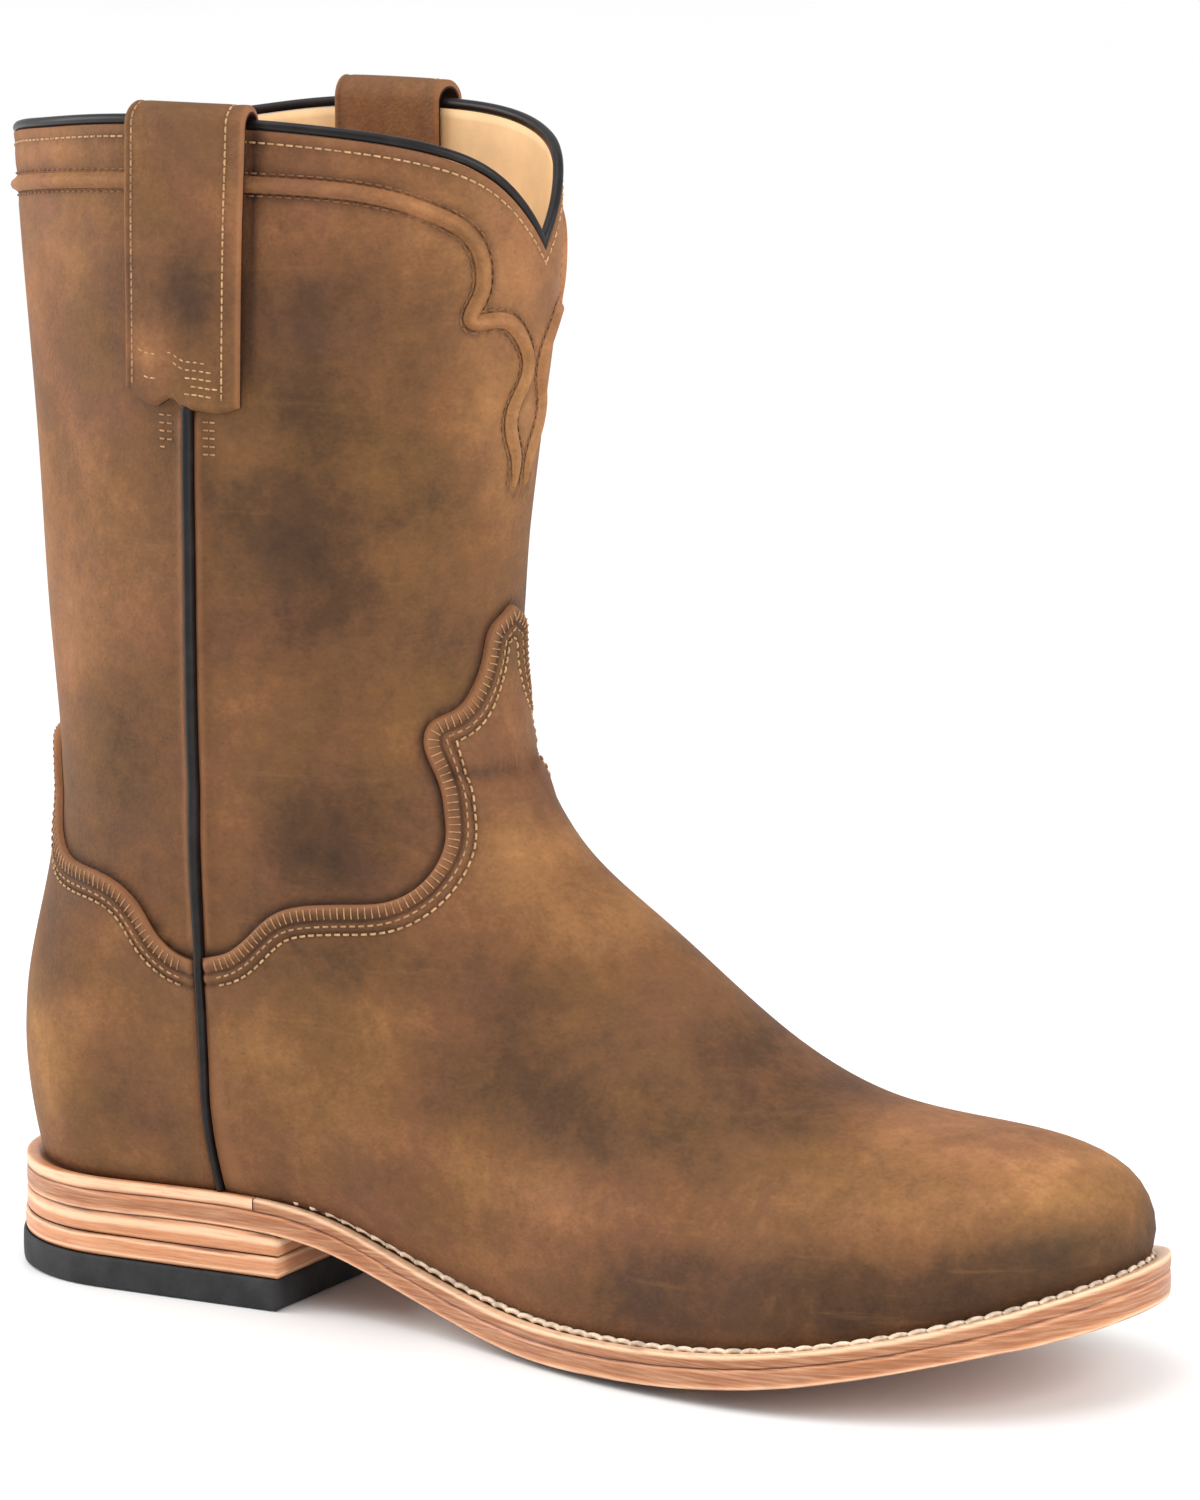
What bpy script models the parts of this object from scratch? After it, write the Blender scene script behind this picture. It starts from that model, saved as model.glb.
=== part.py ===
"""Roper boot for the right foot, ten inch shaft, low square-breasted heel.

The boot stands on the floor (z = 0) with the centre of its heel at the origin, the toe
towards +X and the outer side of the foot towards -Y. Every size below is in millimetres;
the meshes are written in metres.
"""
from math import cos, pi, sin

import bmesh
import bpy
import numpy as np

MM = 0.001

# Leather thicknesses and the clearances between neighbouring pieces
WALL = 2.2
OVERLAY = 1.3
OVERLAY_GAP = 0.4
GAP = 0.3

# Feather line, where the upper meets the sole
HEEL_BACK = -37.0
TOE_FRONT = 249.0
HEEL_ROUND = 31.0
TOE_ROUND = 66.0
TOE_FULLNESS = 2.1
TOE_SPREAD = 2.0
TOE_SPREAD_CLIMB = 8.0
HEEL_FULLNESS = 2.1
BODY_RISE = 26.0
SOLE_FOLLOW = 75.0
FOOT_SWING_TOP = 260.0

# Bottom stock
CAP_FLARE = 1.1
LIFT_FLARE = 0.4
INSOLE_RISE = 2.0
INSOLE_GAP = 0.5
SOLE_CROWN = 2.2
CROWN_PLACE = 128.0
CROWN_LENGTH = 75.0
BREAST_X = 44.0
RUBBER_THICK = 7.7
LIFT_SPLIT = 13.1

# Trim
SEAM_BEAD_WIDE = 2.8
SEAM_BEAD_HIGH = 2.2
SEAM_BEAD_TOP = 216.0
CORD_WIDE = 2.6
CORD_HIGH = 1.5
COLLAR_BEAD = 2.4
STRAP_WIDE = 31.0
STRAP_THICK = 2.0

BEAD_LIFT = 0.4
BEAD_PROFILE = ((-0.5, 0.0), (-0.38, 0.68), (0.0, 1.0), (0.38, 0.68), (0.5, 0.0))
STEEPEST_RIM = 0.55

# Where the foot's arch hands over to the leg, and how its crest climbs behind that
THROAT_X = 98.0
CREST_CLIMB = 1.6
FOLLOW_POWER = 1.6

# Ends of the overlays' outlines in the side view, beyond the boot where they run past it
VAMP_FAR_X = 300.0
VAMP_FAR_TOP = 173.0
VAMP_FAR_LOW = 33.5
VAMP_HEM_TOE = 262.0
VAMP_HEM_SEAM = 34.0
COUNTER_FAR_X = -80.0
COUNTER_FAR_TOP = 134.5
COUNTER_HEM_SEAM = 18.0
SEAM_EDGE_FOOT = 28.0
SEAM_EDGE_STEPS = (38.0, 50.0, 65.0)
CUTTER_SIDE = 90.0

# Mesh density
AROUND = 42
UP = 22
UP_GROWTH = 1.25
VAMP_ROWS_UP = 21
COUNTER_ROWS_UP = 17
HALVINGS = 34
VAMP_EDGE_STEPS = 34
COUNTER_EDGE_STEPS = 22
HEM_STEPS = 24
PIPING_STEPS = 22
CORD_STEPS = 36
COLLAR_BEAD_SIDES = 6
STRAP_STEPS = 8
STRAP_INSIDE_STEPS = 4
STRAP_ACROSS = 6
END_STATIONS = (0.06, 0.25, 0.55)

# The feather line from above: half widths at the sole, then the half widths of the
# leather's body just above it
FOOT_COLUMNS = ("x", "lateral", "medial", "lateral_body", "medial_body")
FOOT_ROWS = [
    (-38, 30.0, 30.0, 33.0, 33.0),
    (-10, 31.0, 31.0, 34.5, 34.0),
    (20, 30.5, 30.0, 35.5, 35.0),
    (45, 28.5, 27.5, 36.5, 35.5),
    (80, 27.0, 23.0, 37.0, 34.5),
    (105, 33.0, 28.0, 38.5, 36.0),
    (130, 41.5, 36.0, 43.0, 39.0),
    (155, 47.5, 42.0, 48.0, 43.0),
    (180, 50.0, 43.5, 50.0, 44.0),
    (210, 49.0, 41.5, 49.0, 42.0),
    (250, 47.0, 39.0, 47.5, 39.5),
]

# Height of the feather line, the toe's swing to the inner side, the ledge of sole that
# shows outside it, and the thicknesses of the welt and the outsole
FEATHER_COLUMNS = ("x", "height", "swing", "ledge", "welt", "sole")
FEATHER_ROWS = [
    (-38, 27.1, 0.0, 6.4, 2.7, 5.0),
    (0, 27.1, 0.0, 3.8, 2.7, 5.0),
    (36, 27.1, 0.0, 3.6, 2.7, 5.0),
    (55, 24.5, 0.0, 4.6, 2.7, 4.8),
    (75, 17.8, 0.0, 5.6, 2.7, 4.4),
    (95, 12.3, 0.5, 6.0, 2.7, 4.5),
    (115, 9.8, 1.0, 6.2, 2.7, 4.9),
    (140, 9.9, 2.0, 6.3, 2.7, 5.0),
    (165, 11.6, 3.0, 6.4, 2.7, 5.0),
    (190, 15.0, 4.0, 6.4, 2.7, 4.9),
    (215, 20.0, 6.0, 6.4, 2.9, 4.7),
    (235, 25.0, 8.0, 6.6, 3.2, 5.1),
    (252, 30.0, 9.5, 6.4, 3.6, 6.3),
    (262, 33.0, 10.5, 6.4, 3.6, 6.3),
]

# Sections of the upper from the feather line to the collar. Each is a line in the side
# view from the back outline to the front outline. foot is the share of the foot's arch in
# the section, side the half width of the leg's oval, the rounds the lengths of its ends
RING_COLUMNS = ("front_x", "front_z", "back_x", "back_z",
                "foot", "side", "front_round", "back_round")
RING_ROWS = [
    (249.0, 29.1, -37.0, 27.1, 1.00, 30.0, 46.0, 31.0),
    (250.0, 37.0, -38.3, 35.0, 1.00, 30.0, 50.0, 32.0),
    (247.0, 46.0, -39.4, 43.0, 1.00, 30.0, 60.0, 33.0),
    (234.5, 53.2, -40.3, 52.0, 1.00, 32.0, 90.0, 36.0),
    (207.0, 57.0, -40.4, 62.0, 1.00, 34.0, 120.0, 40.0),
    (178.5, 61.7, -39.6, 71.0, 1.00, 36.0, 120.0, 44.0),
    (153.0, 76.4, -37.6, 82.0, 0.80, 37.5, 105.0, 48.0),
    (128.5, 95.4, -34.7, 95.0, 0.50, 38.5, 90.0, 52.0),
    (104.0, 113.2, -32.6, 110.0, 0.25, 39.5, 78.0, 56.0),
    (90.5, 139.0, -32.6, 132.0, 0.08, 40.5, 66.0, 59.0),
    (89.5, 170.0, -35.3, 160.0, 0.00, 41.5, 64.0, 62.0),
    (94.0, 210.0, -38.0, 203.0, 0.00, 42.5, 67.0, 66.0),
    (99.5, 250.0, -42.0, 248.0, 0.00, 43.0, 71.0, 71.0),
    (99.5, 290.0, -45.0, 290.0, 0.00, 43.0, 73.0, 73.0),
]

# How long the foot's arch stays wide as it climbs, and how round its crest is
ARCH_COLUMNS = ("x", "wide", "crest")
ARCH_ROWS = [
    (-50, 2.6, 1.90),
    (90, 2.3, 1.75),
    (120, 2.1, 1.75),
    (160, 2.1, 1.95),
    (200, 2.3, 2.20),
    (255, 2.5, 2.30),
]

# Collar edge: u runs from the back (0) to the notch at the front (0.5)
COLLAR_COLUMNS = ("u", "lateral", "medial")
COLLAR_ROWS = [
    (0.000, 275.0, 275.0),
    (0.050, 276.3, 275.3),
    (0.085, 278.2, 276.0),
    (0.136, 280.4, 276.8),
    (0.178, 282.2, 278.9),
    (0.213, 283.3, 281.0),
    (0.284, 283.5, 282.6),
    (0.346, 281.6, 281.8),
    (0.398, 278.0, 278.4),
    (0.440, 271.8, 272.4),
    (0.473, 263.0, 263.0),
    (0.500, 254.5, 254.5),
]

# Side seam, in the side view
SEAM_COLUMNS = ("z", "x")
SEAM_ROWS = [
    (0, 27.7),
    (28, 27.2),
    (50, 26.7),
    (85, 25.2),
    (130, 26.2),
    (172, 27.4),
    (220, 28.2),
    (290, 29.2),
]

# Free edge of the vamp in the side view, from the side seam to the tip of its tongue
VAMP_EDGE_COLUMNS = ("x", "z")
VAMP_EDGE_ROWS = [
    (26.0, 85.6),
    (34.0, 87.8),
    (39.5, 92.4),
    (46.0, 98.0),
    (57.5, 101.4),
    (66.0, 102.2),
    (72.5, 102.8),
    (79.5, 105.4),
    (84.0, 110.4),
    (85.5, 116.4),
    (84.3, 123.6),
    (81.8, 132.1),
    (79.0, 141.4),
    (79.8, 144.5),
    (83.9, 147.6),
    (86.2, 152.8),
    (87.4, 160.0),
    (88.4, 166.6),
    (90.6, 171.4),
]

# Free edge of the heel counter in the side view, from the side seam to its back tab
COUNTER_EDGE_COLUMNS = ("x", "z")
COUNTER_EDGE_ROWS = [
    (24.0, 84.6),
    (19.0, 85.6),
    (13.0, 89.8),
    (8.0, 96.4),
    (2.5, 100.6),
    (-7.5, 103.2),
    (-18.5, 105.4),
    (-24.0, 112.5),
    (-26.3, 120.0),
    (-27.2, 127.5),
    (-30.0, 132.4),
    (-38.0, 134.0),
]

# Raised cord of the shaft, from the front over the side to the back, by u and height
CORD_COLUMNS = ("u", "z")
CORD_ROWS = [
    (0.4900, 199.0),
    (0.4880, 206.5),
    (0.4770, 213.0),
    (0.4770, 219.0),
    (0.4870, 225.0),
    (0.4860, 230.5),
    (0.4720, 236.0),
    (0.4480, 239.6),
    (0.4290, 239.4),
    (0.4300, 244.5),
    (0.4330, 250.0),
    (0.4280, 256.4),
    (0.4110, 262.2),
    (0.3900, 265.6),
    (0.3640, 268.6),
    (0.2850, 271.0),
    (0.2070, 270.2),
    (0.1540, 268.6),
    (0.0860, 265.8),
    (0.0000, 262.5),
]

# Pull strap: distance of its inner face from the shaft on the way up, and the x of its
# middle line on the outer and on the inner side of the boot
STRAP_RISE_COLUMNS = ("z", "offset", "lateral", "medial")
STRAP_RISE_ROWS = [
    (216, 0.5, 26.5, 28.5),
    (232, 0.9, 27.2, 29.5),
    (250, 1.8, 28.2, 30.7),
    (264, 2.8, 29.1, 31.7),
    (276, 3.3, 29.8, 32.5),
    (284, 3.6, 30.2, 33.0),
]
STRAP_LOOP_Z = 284.0
STRAP_LOOP_RADIUS = 3.3
STRAP_INNER_OFFSET = -3.0
STRAP_INNER_END = 242.0
STRAP_EDGE_COLUMNS = ("across", "z")
STRAP_EDGE_ROWS = [
    (-15.5, 221.5),
    (-11.0, 219.2),
    (-6.0, 218.4),
    (-2.0, 220.2),
    (0.0, 218.6),
    (4.0, 217.8),
    (10.0, 217.4),
    (15.5, 219.0),
]

# Colour, roughness and metallic value of each material
LEATHER = ("distressed_leather", (0.262, 0.114, 0.038, 1.0), 0.55)
PIPING = ("black_piping", (0.022, 0.016, 0.017, 1.0), 0.45)
STACKED = ("stacked_leather", (0.565, 0.255, 0.105, 1.0), 0.5)
INSOLE = ("tan_lining_leather", (0.72, 0.42, 0.19, 1.0), 0.6)
RUBBER = ("black_rubber", (0.028, 0.028, 0.03, 1.0), 0.7)


def smooth_curve(places, values):
    """Natural cubic curve through a short table, held at its end values outside it."""
    places = np.asarray(places, float)
    values = np.asarray(values, float)
    count = len(places)
    step = np.diff(places)
    slope = np.diff(values) / step
    matrix = np.eye(count)
    bend = np.zeros(count)
    for i in range(1, count - 1):
        matrix[i, i - 1] = step[i - 1]
        matrix[i, i] = 2.0 * (step[i - 1] + step[i])
        matrix[i, i + 1] = step[i]
        bend[i] = 6.0 * (slope[i] - slope[i - 1])
    bend = np.linalg.solve(matrix, bend)

    def curve(x):
        x = np.clip(np.asarray(x, float), places[0], places[-1])
        i = np.clip(np.searchsorted(places, x) - 1, 0, count - 2)
        a = (places[i + 1] - x) / step[i]
        b = (x - places[i]) / step[i]
        wave = ((a ** 3 - a) * bend[i] + (b ** 3 - b) * bend[i + 1]) * step[i] ** 2 / 6.0
        return a * values[i] + b * values[i + 1] + wave

    return curve


def table_curves(columns, rows):
    """A smooth curve for each named column, along the table's first column."""
    table = np.array(rows, float)
    return {name: smooth_curve(table[:, 0], table[:, k]) for k, name in enumerate(columns) if k}


def path_through(rows, count):
    """Points of a smooth line through a table's rows, evenly spaced along it."""
    table = np.array(rows, float)
    legs = np.linalg.norm(np.diff(table, axis=0) / np.ptp(table, axis=0), axis=1)
    along = np.concatenate([[0.0], np.cumsum(legs)])
    even = np.linspace(0.0, along[-1], count)
    return np.stack([smooth_curve(along, table[:, k])(even) for k in range(table.shape[1])], -1)


def closing(t, power=2.0):
    """Round end of an outline: 0 at t = 0, full at t = 1."""
    t = np.clip(t, 0.0, 1.0)
    return (1.0 - (1.0 - t) ** power) ** (1.0 / power)


FOOT = table_curves(FOOT_COLUMNS, FOOT_ROWS)
FEATHER = table_curves(FEATHER_COLUMNS, FEATHER_ROWS)
ARCH = table_curves(ARCH_COLUMNS, ARCH_ROWS)
COLLAR = table_curves(COLLAR_COLUMNS, COLLAR_ROWS)
SEAM = table_curves(SEAM_COLUMNS, SEAM_ROWS)
STRAP_RISE = table_curves(STRAP_RISE_COLUMNS, STRAP_RISE_ROWS)
STRAP_EDGE = table_curves(STRAP_EDGE_COLUMNS, STRAP_EDGE_ROWS)


def ring_curves():
    """The ring table's columns as curves of the climb along the front outline."""
    table = np.array(RING_ROWS, float)
    climb = np.hypot(np.diff(table[:, 0]), np.diff(table[:, 1]))
    along = np.concatenate([[0.0], np.cumsum(climb)])
    curves = {name: smooth_curve(along, table[:, k]) for k, name in enumerate(RING_COLUMNS)}
    return curves, along[-1]


RING, CLIMB_TOP = ring_curves()


def crest_line():
    """Outline of the instep's crest from the throat to the toe, as x and z."""
    h = np.linspace(0.0, CLIMB_TOP, 3000)
    x = RING["front_x"](h)
    z = RING["front_z"](h)
    tip = int(np.argmax(x))
    throat = tip + int(np.argmax(x[tip:] < THROAT_X))
    return x[tip:throat][::-1].copy(), z[tip:throat][::-1].copy()


CREST_X, CREST_Z = crest_line()


def crest(x):
    """Height of the instep's crest over x, rising steadily behind the throat."""
    behind = CREST_Z[0] + CREST_CLIMB * (CREST_X[0] - x)
    return np.where(x < CREST_X[0], behind, np.interp(x, CREST_X, CREST_Z))


def ring_height(h, x):
    """Height of section h at x: a line in the side view, bent near the sole to follow it."""
    back_x = RING["back_x"](h)
    front_x = RING["front_x"](h)
    along = (x - back_x) / (front_x - back_x)
    level = RING["back_z"](h) + (RING["front_z"](h) - RING["back_z"](h)) * along
    feather = FEATHER["height"]
    chord = feather(back_x) + (feather(front_x) - feather(back_x)) * along
    follow = np.clip(1.0 - h / SOLE_FOLLOW, 0.0, 1.0) ** FOLLOW_POWER
    return level + follow * (feather(x) - chord)


def half_width(h, x, z, medial):
    """Half width of the upper at x and z on section h."""
    back_x = RING["back_x"](h)
    front_x = RING["front_x"](h)
    low = np.where(medial, FOOT["medial"](x), FOOT["lateral"](x))
    body = np.where(medial, FOOT["medial_body"](x), FOOT["lateral_body"](x))
    feather = FEATHER["height"](x)
    rise = np.clip((z - feather) / BODY_RISE, 0.0, 1.0)
    width = low + (body - low) * np.sin(rise * pi / 2.0)
    level = np.clip((z - feather) / np.maximum(crest(x) - feather, 0.001), 0.0, 1.0)
    arch = (1.0 - level ** ARCH["wide"](x)) ** (1.0 / ARCH["crest"](x))
    tip = TOE_FRONT + TOE_SPREAD * np.clip(h / TOE_SPREAD_CLIMB, 0.0, 1.0)
    toe = closing((tip - x) / TOE_ROUND, TOE_FULLNESS)
    heel = closing((x - back_x) / HEEL_ROUND, HEEL_FULLNESS)
    foot = width * arch * toe * heel
    leg = RING["side"](h) * closing((front_x - x) / RING["front_round"](h))
    leg = leg * closing((x - back_x) / RING["back_round"](h))
    share = np.clip(RING["foot"](h), 0.0, 1.0)
    return share * foot + (1.0 - share) * leg


def upper_surface(u, h):
    """Point of the upper's outer face. u runs from the back (0) along the outer side to
    the front (0.5) and back along the inner side (1); h climbs from sole to collar."""
    u, h = np.broadcast_arrays(np.asarray(u, float) % 1.0, np.asarray(h, float))
    back_x = RING["back_x"](h)
    front_x = RING["front_x"](h)
    x = back_x + (front_x - back_x) * (1.0 - np.cos(2.0 * pi * u)) / 2.0
    z = ring_height(h, x)
    medial = u > 0.5
    width = half_width(h, x, z, medial)
    swing = FEATHER["swing"](x) * np.clip(1.0 - h / FOOT_SWING_TOP, 0.0, 1.0)
    return np.stack([x, np.where(medial, width, -width) + swing, z], -1)


def upper_normal(u, h):
    """Outward direction of the upper's face; level at the feather line."""
    u, h = np.broadcast_arrays(np.asarray(u, float), np.asarray(h, float))
    around = upper_surface(u + 0.004, h) - upper_surface(u - 0.004, h)
    low = np.clip(h - 1.5, 0.0, CLIMB_TOP)
    high = np.clip(h + 1.5, 0.0, CLIMB_TOP)
    climb = upper_surface(u, high) - upper_surface(u, low)
    climb = np.where((h < 0.01)[..., None], np.array([0.0, 0.0, 1.0]), climb)
    normal = np.cross(around, climb)
    return normal / np.linalg.norm(normal, axis=-1, keepdims=True)


def offset_surface(u, h, offset):
    """Point at a distance from the upper's outer face."""
    offset = np.asarray(offset, float)[..., None]
    return upper_surface(u, h) + upper_normal(u, h) * offset


def climb_at(u, z):
    """Climb h at which the surface along u reaches the height z."""
    u, z = np.broadcast_arrays(np.asarray(u, float), np.asarray(z, float))
    low = np.zeros(u.shape)
    high = np.full(u.shape, CLIMB_TOP)
    for _ in range(HALVINGS):
        middle = (low + high) / 2.0
        above = upper_surface(u, middle)[..., 2] > z
        high = np.where(above, middle, high)
        low = np.where(above, low, middle)
    return (low + high) / 2.0


def place_at(x, z, medial=False):
    """The u and h of the surface point seen at x and z in the side view."""
    x, z = np.broadcast_arrays(np.asarray(x, float), np.asarray(z, float))
    low = np.zeros(x.shape)
    high = np.full(x.shape, CLIMB_TOP)
    for _ in range(HALVINGS):
        middle = (low + high) / 2.0
        above = (ring_height(middle, x) > z) | (x > RING["front_x"](middle))
        high = np.where(above, middle, high)
        low = np.where(above, low, middle)
    h = (low + high) / 2.0
    back_x = RING["back_x"](h)
    share = np.clip((x - back_x) / (RING["front_x"](h) - back_x), 0.0, 1.0)
    u = np.arccos(1.0 - 2.0 * share) / (2.0 * pi)
    return (1.0 - u if medial else u), h


def collar_height(u):
    """Height of the collar edge at u."""
    u = np.asarray(u, float) % 1.0
    return np.where(u > 0.5, COLLAR["medial"](1.0 - u), COLLAR["lateral"](u))


def rim_height(x):
    """Height of the wall's lower rim over x, which the bottom stock follows."""
    u = np.arange(AROUND // 2 + 1) / AROUND
    rim = upper_surface(u, 0.0)
    places = np.append(rim[:, 0], FEATHER_ROWS[-1][0])
    return float(np.interp(x, places, np.append(rim[:, 2], FEATHER_ROWS[-1][1])))


def lattice_value(column, x):
    """A column of the feather table over x, straight between the wall's lattice points."""
    u = np.arange(AROUND // 2 + 1) / AROUND
    places = np.append(upper_surface(u, 0.0)[:, 0], FEATHER_ROWS[-1][0])
    return float(np.interp(x, places, FEATHER[column](places)))


def sole_top(x, side=0.0):
    """Height of the outsole's upper face, under the welt."""
    return rim_height(x) - GAP - lattice_value("welt", x) - GAP


def feather_line(u, outward):
    """Plan point at a distance outside the feather line."""
    line = upper_surface(u, 0.0)[..., :2]
    ahead = upper_surface(u + 0.003, 0.0)[..., :2]
    behind = upper_surface(u - 0.003, 0.0)[..., :2]
    along = ahead - behind
    side = np.stack([along[..., 1], -along[..., 0]], -1)
    side = side / np.linalg.norm(side, axis=-1, keepdims=True)
    return line + side * np.asarray(outward, float)[..., None]


def rim_line(u, outward):
    """Plan point at a distance outside the feather line, on the wall's own lattice."""
    knots = np.arange(AROUND + 1) / AROUND
    line = feather_line(knots, np.full(AROUND + 1, outward))
    u = np.asarray(u, float) % 1.0
    return np.stack([np.interp(u, knots, line[:, k]) for k in (0, 1)], -1)


def sole_line(u, flare=0.0):
    """Plan point of the sole's outer edge at u, or a little outside it."""
    return feather_line(u, FEATHER["ledge"](upper_surface(u, 0.0)[..., 0]) + flare)


def clear_scene():
    for thing in list(bpy.data.objects):
        bpy.data.objects.remove(thing, do_unlink=True)


def material(look):
    """Principled material with the given colour and roughness."""
    name, colour, roughness = look
    found = bpy.data.materials.get(name)
    if found:
        return found
    made = bpy.data.materials.new(name)
    made.use_nodes = True
    shader = made.node_tree.nodes["Principled BSDF"]
    shader.inputs["Base Color"].default_value = colour
    shader.inputs["Roughness"].default_value = roughness
    shader.inputs["Metallic"].default_value = 0.0
    return made


def add_piece(name, points, faces, look):
    """Object from points in millimetres, its faces turned outwards."""
    mesh = bpy.data.meshes.new(name)
    mesh.from_pydata([tuple(float(c) * MM for c in p) for p in points], [], faces)
    build = bmesh.new()
    build.from_mesh(mesh)
    bmesh.ops.recalc_face_normals(build, faces=build.faces)
    build.to_mesh(mesh)
    build.free()
    mesh.shade_smooth()
    mesh.set_sharp_from_angle(angle=0.7)
    piece = bpy.data.objects.new(name, mesh)
    bpy.context.scene.collection.objects.link(piece)
    if look:
        mesh.materials.append(material(look))
    return piece


def hollow_wall(outer, inner):
    """Points and faces of a closed wall between two grids that run all the way round."""
    rows, columns = outer.shape[:2]
    points = list(outer.reshape(-1, 3)) + list(inner.reshape(-1, 3))
    inside = rows * columns
    faces = []
    for i in range(rows - 1):
        for j in range(columns):
            k = (j + 1) % columns
            a, b = i * columns + j, i * columns + k
            c, d = a + columns, b + columns
            faces += [(a, b, d), (a, d, c)]
            faces += [(inside + a, inside + d, inside + b), (inside + a, inside + c, inside + d)]
    top = (rows - 1) * columns
    for j in range(columns):
        k = (j + 1) % columns
        faces.append((j, inside + j, inside + k, k))
        faces.append((top + j, top + k, inside + top + k, inside + top + j))
    return points, faces


def lofted_bar(sections, closed=False):
    """Points and faces of a bar through equal sections, with flat ends unless it closes."""
    sections = np.asarray(sections, float)
    count, sides = sections.shape[:2]
    faces = []
    for i in range(count if closed else count - 1):
        k = (i + 1) % count
        for j in range(sides):
            m = (j + 1) % sides
            faces.append((i * sides + j, i * sides + m, k * sides + m, k * sides + j))
    if not closed:
        faces.append(tuple(range(sides)))
        last = (count - 1) * sides
        faces.append(tuple(last + j for j in reversed(range(sides))))
    return list(sections.reshape(-1, 3)), faces


def plate(cross_lines, top, bottom, across=6):
    """Points and faces of a plate with its edge through the ends of plan cross lines.
    top and bottom give the heights from x and from the share of the half width."""
    points = []
    rows = []
    for first, last in cross_lines:
        single = np.hypot(*(np.asarray(first) - np.asarray(last))) < 0.01
        shares = [0.5] if single else np.linspace(0.0, 1.0, across + 1)
        row = []
        for share in shares:
            x, y = np.asarray(first) * (1.0 - share) + np.asarray(last) * share
            side = 1.0 if single else abs(2.0 * share - 1.0)
            row.append(len(points))
            points.append((x, y, top(x, side)))
            points.append((x, y, bottom(x, side)))
        rows.append(row)
    faces = []

    def skin(row_a, row_b, level):
        for j in range(max(len(row_a), len(row_b)) - 1):
            a = [row_a[min(j + s, len(row_a) - 1)] + level for s in (0, 1)]
            b = [row_b[min(j + s, len(row_b) - 1)] + level for s in (1, 0)]
            corners = list(dict.fromkeys(a + b))
            faces.append(tuple(corners if level == 0 else reversed(corners)))

    for row_a, row_b in zip(rows, rows[1:]):
        skin(row_a, row_b, 0)
        skin(row_a, row_b, 1)
    edge = [row[0] for row in rows] + [row[-1] for row in reversed(rows) if len(row) > 1]
    for row in (rows[-1], rows[0]):
        inner = row[1:-1]
        if inner and row is rows[-1]:
            at = edge.index(row[0]) + 1
            edge[at:at] = inner
        elif inner:
            edge.extend(reversed(inner))
    for a, b in zip(edge, edge[1:] + edge[:1]):
        faces.append((a, a + 1, b + 1, b))
    return points, faces


def lattice_rows(u, rows):
    """Climbs of the wall's lattice: rows grow apart upwards and end at the collar."""
    shares = (np.arange(rows + 1) / rows) ** UP_GROWTH
    return shares[:, None] * climb_at(u, collar_height(u))[None, :]


def wall_between(far, near, rows_used):
    """Closed wall between two distances from the upper's face, on the upper's lattice."""
    u = np.arange(AROUND) / AROUND
    h = lattice_rows(u, UP)[:rows_used]
    grid_u = np.broadcast_to(u, h.shape)
    return hollow_wall(offset_surface(grid_u, h, far), offset_surface(grid_u, h, near))


def make_upper():
    points, faces = wall_between(0.0, -WALL, UP + 1)
    return add_piece("upper", points, faces, LEATHER)


def side_view_cutter(name, outline):
    """Prism across the boot with the given outline in the side view."""
    points = [(x, y, z) for y in (-CUTTER_SIDE, CUTTER_SIDE) for x, z in outline]
    count = len(outline)
    faces = [tuple(range(count)), tuple(reversed(range(count, 2 * count)))]
    for j in range(count):
        k = (j + 1) % count
        faces.append((j, k, count + k, count + j))
    cutter = add_piece(name, points, faces, None)
    cutter.hide_render = True
    cutter.display_type = "WIRE"
    return cutter


def overlay(name, outline, rows_used):
    """Second skin over the upper, cut to an outline in the side view."""
    near = OVERLAY_GAP
    points, faces = wall_between(near + OVERLAY, near, rows_used)
    skin = add_piece(name, points, faces, LEATHER)
    cut = skin.modifiers.new("cut_to_outline", "BOOLEAN")
    cut.operation = "INTERSECT"
    cut.solver = "EXACT"
    cut.object = side_view_cutter(name + "_outline", outline)
    return skin


def seam_side(shift, top):
    """Edge of an overlay along the side seam, from its hem up to its free edge."""
    low = float(FEATHER["height"](SEAM["x"](SEAM_EDGE_FOOT))) + GAP
    return [(float(SEAM["x"](z)) + shift, z) for z in (low, *SEAM_EDGE_STEPS, top)]


def hem(far_x, near_x):
    """Lower edge of an overlay, a little above the feather line."""
    stations = np.linspace(far_x, near_x, HEM_STEPS)
    return [(x, float(FEATHER["height"](x)) + GAP) for x in stations]


def make_vamp():
    clear = SEAM_BEAD_WIDE / 2.0 + GAP
    outline = seam_side(clear, VAMP_EDGE_ROWS[0][1])
    outline += [tuple(p) for p in path_through(VAMP_EDGE_ROWS[1:], VAMP_EDGE_STEPS)]
    outline += [(VAMP_FAR_X, VAMP_FAR_TOP), (VAMP_FAR_X, VAMP_FAR_LOW)]
    outline += hem(VAMP_HEM_TOE, VAMP_HEM_SEAM)
    return overlay("vamp", outline, VAMP_ROWS_UP)


def make_counter():
    clear = SEAM_BEAD_WIDE / 2.0 + GAP
    outline = seam_side(-clear, COUNTER_EDGE_ROWS[0][1])
    outline += [tuple(p) for p in path_through(COUNTER_EDGE_ROWS[1:], COUNTER_EDGE_STEPS)]
    outline.append((COUNTER_FAR_X, COUNTER_FAR_TOP))
    outline += hem(COUNTER_FAR_X, COUNTER_HEM_SEAM)
    return overlay("heel_counter", outline, COUNTER_ROWS_UP)


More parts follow.
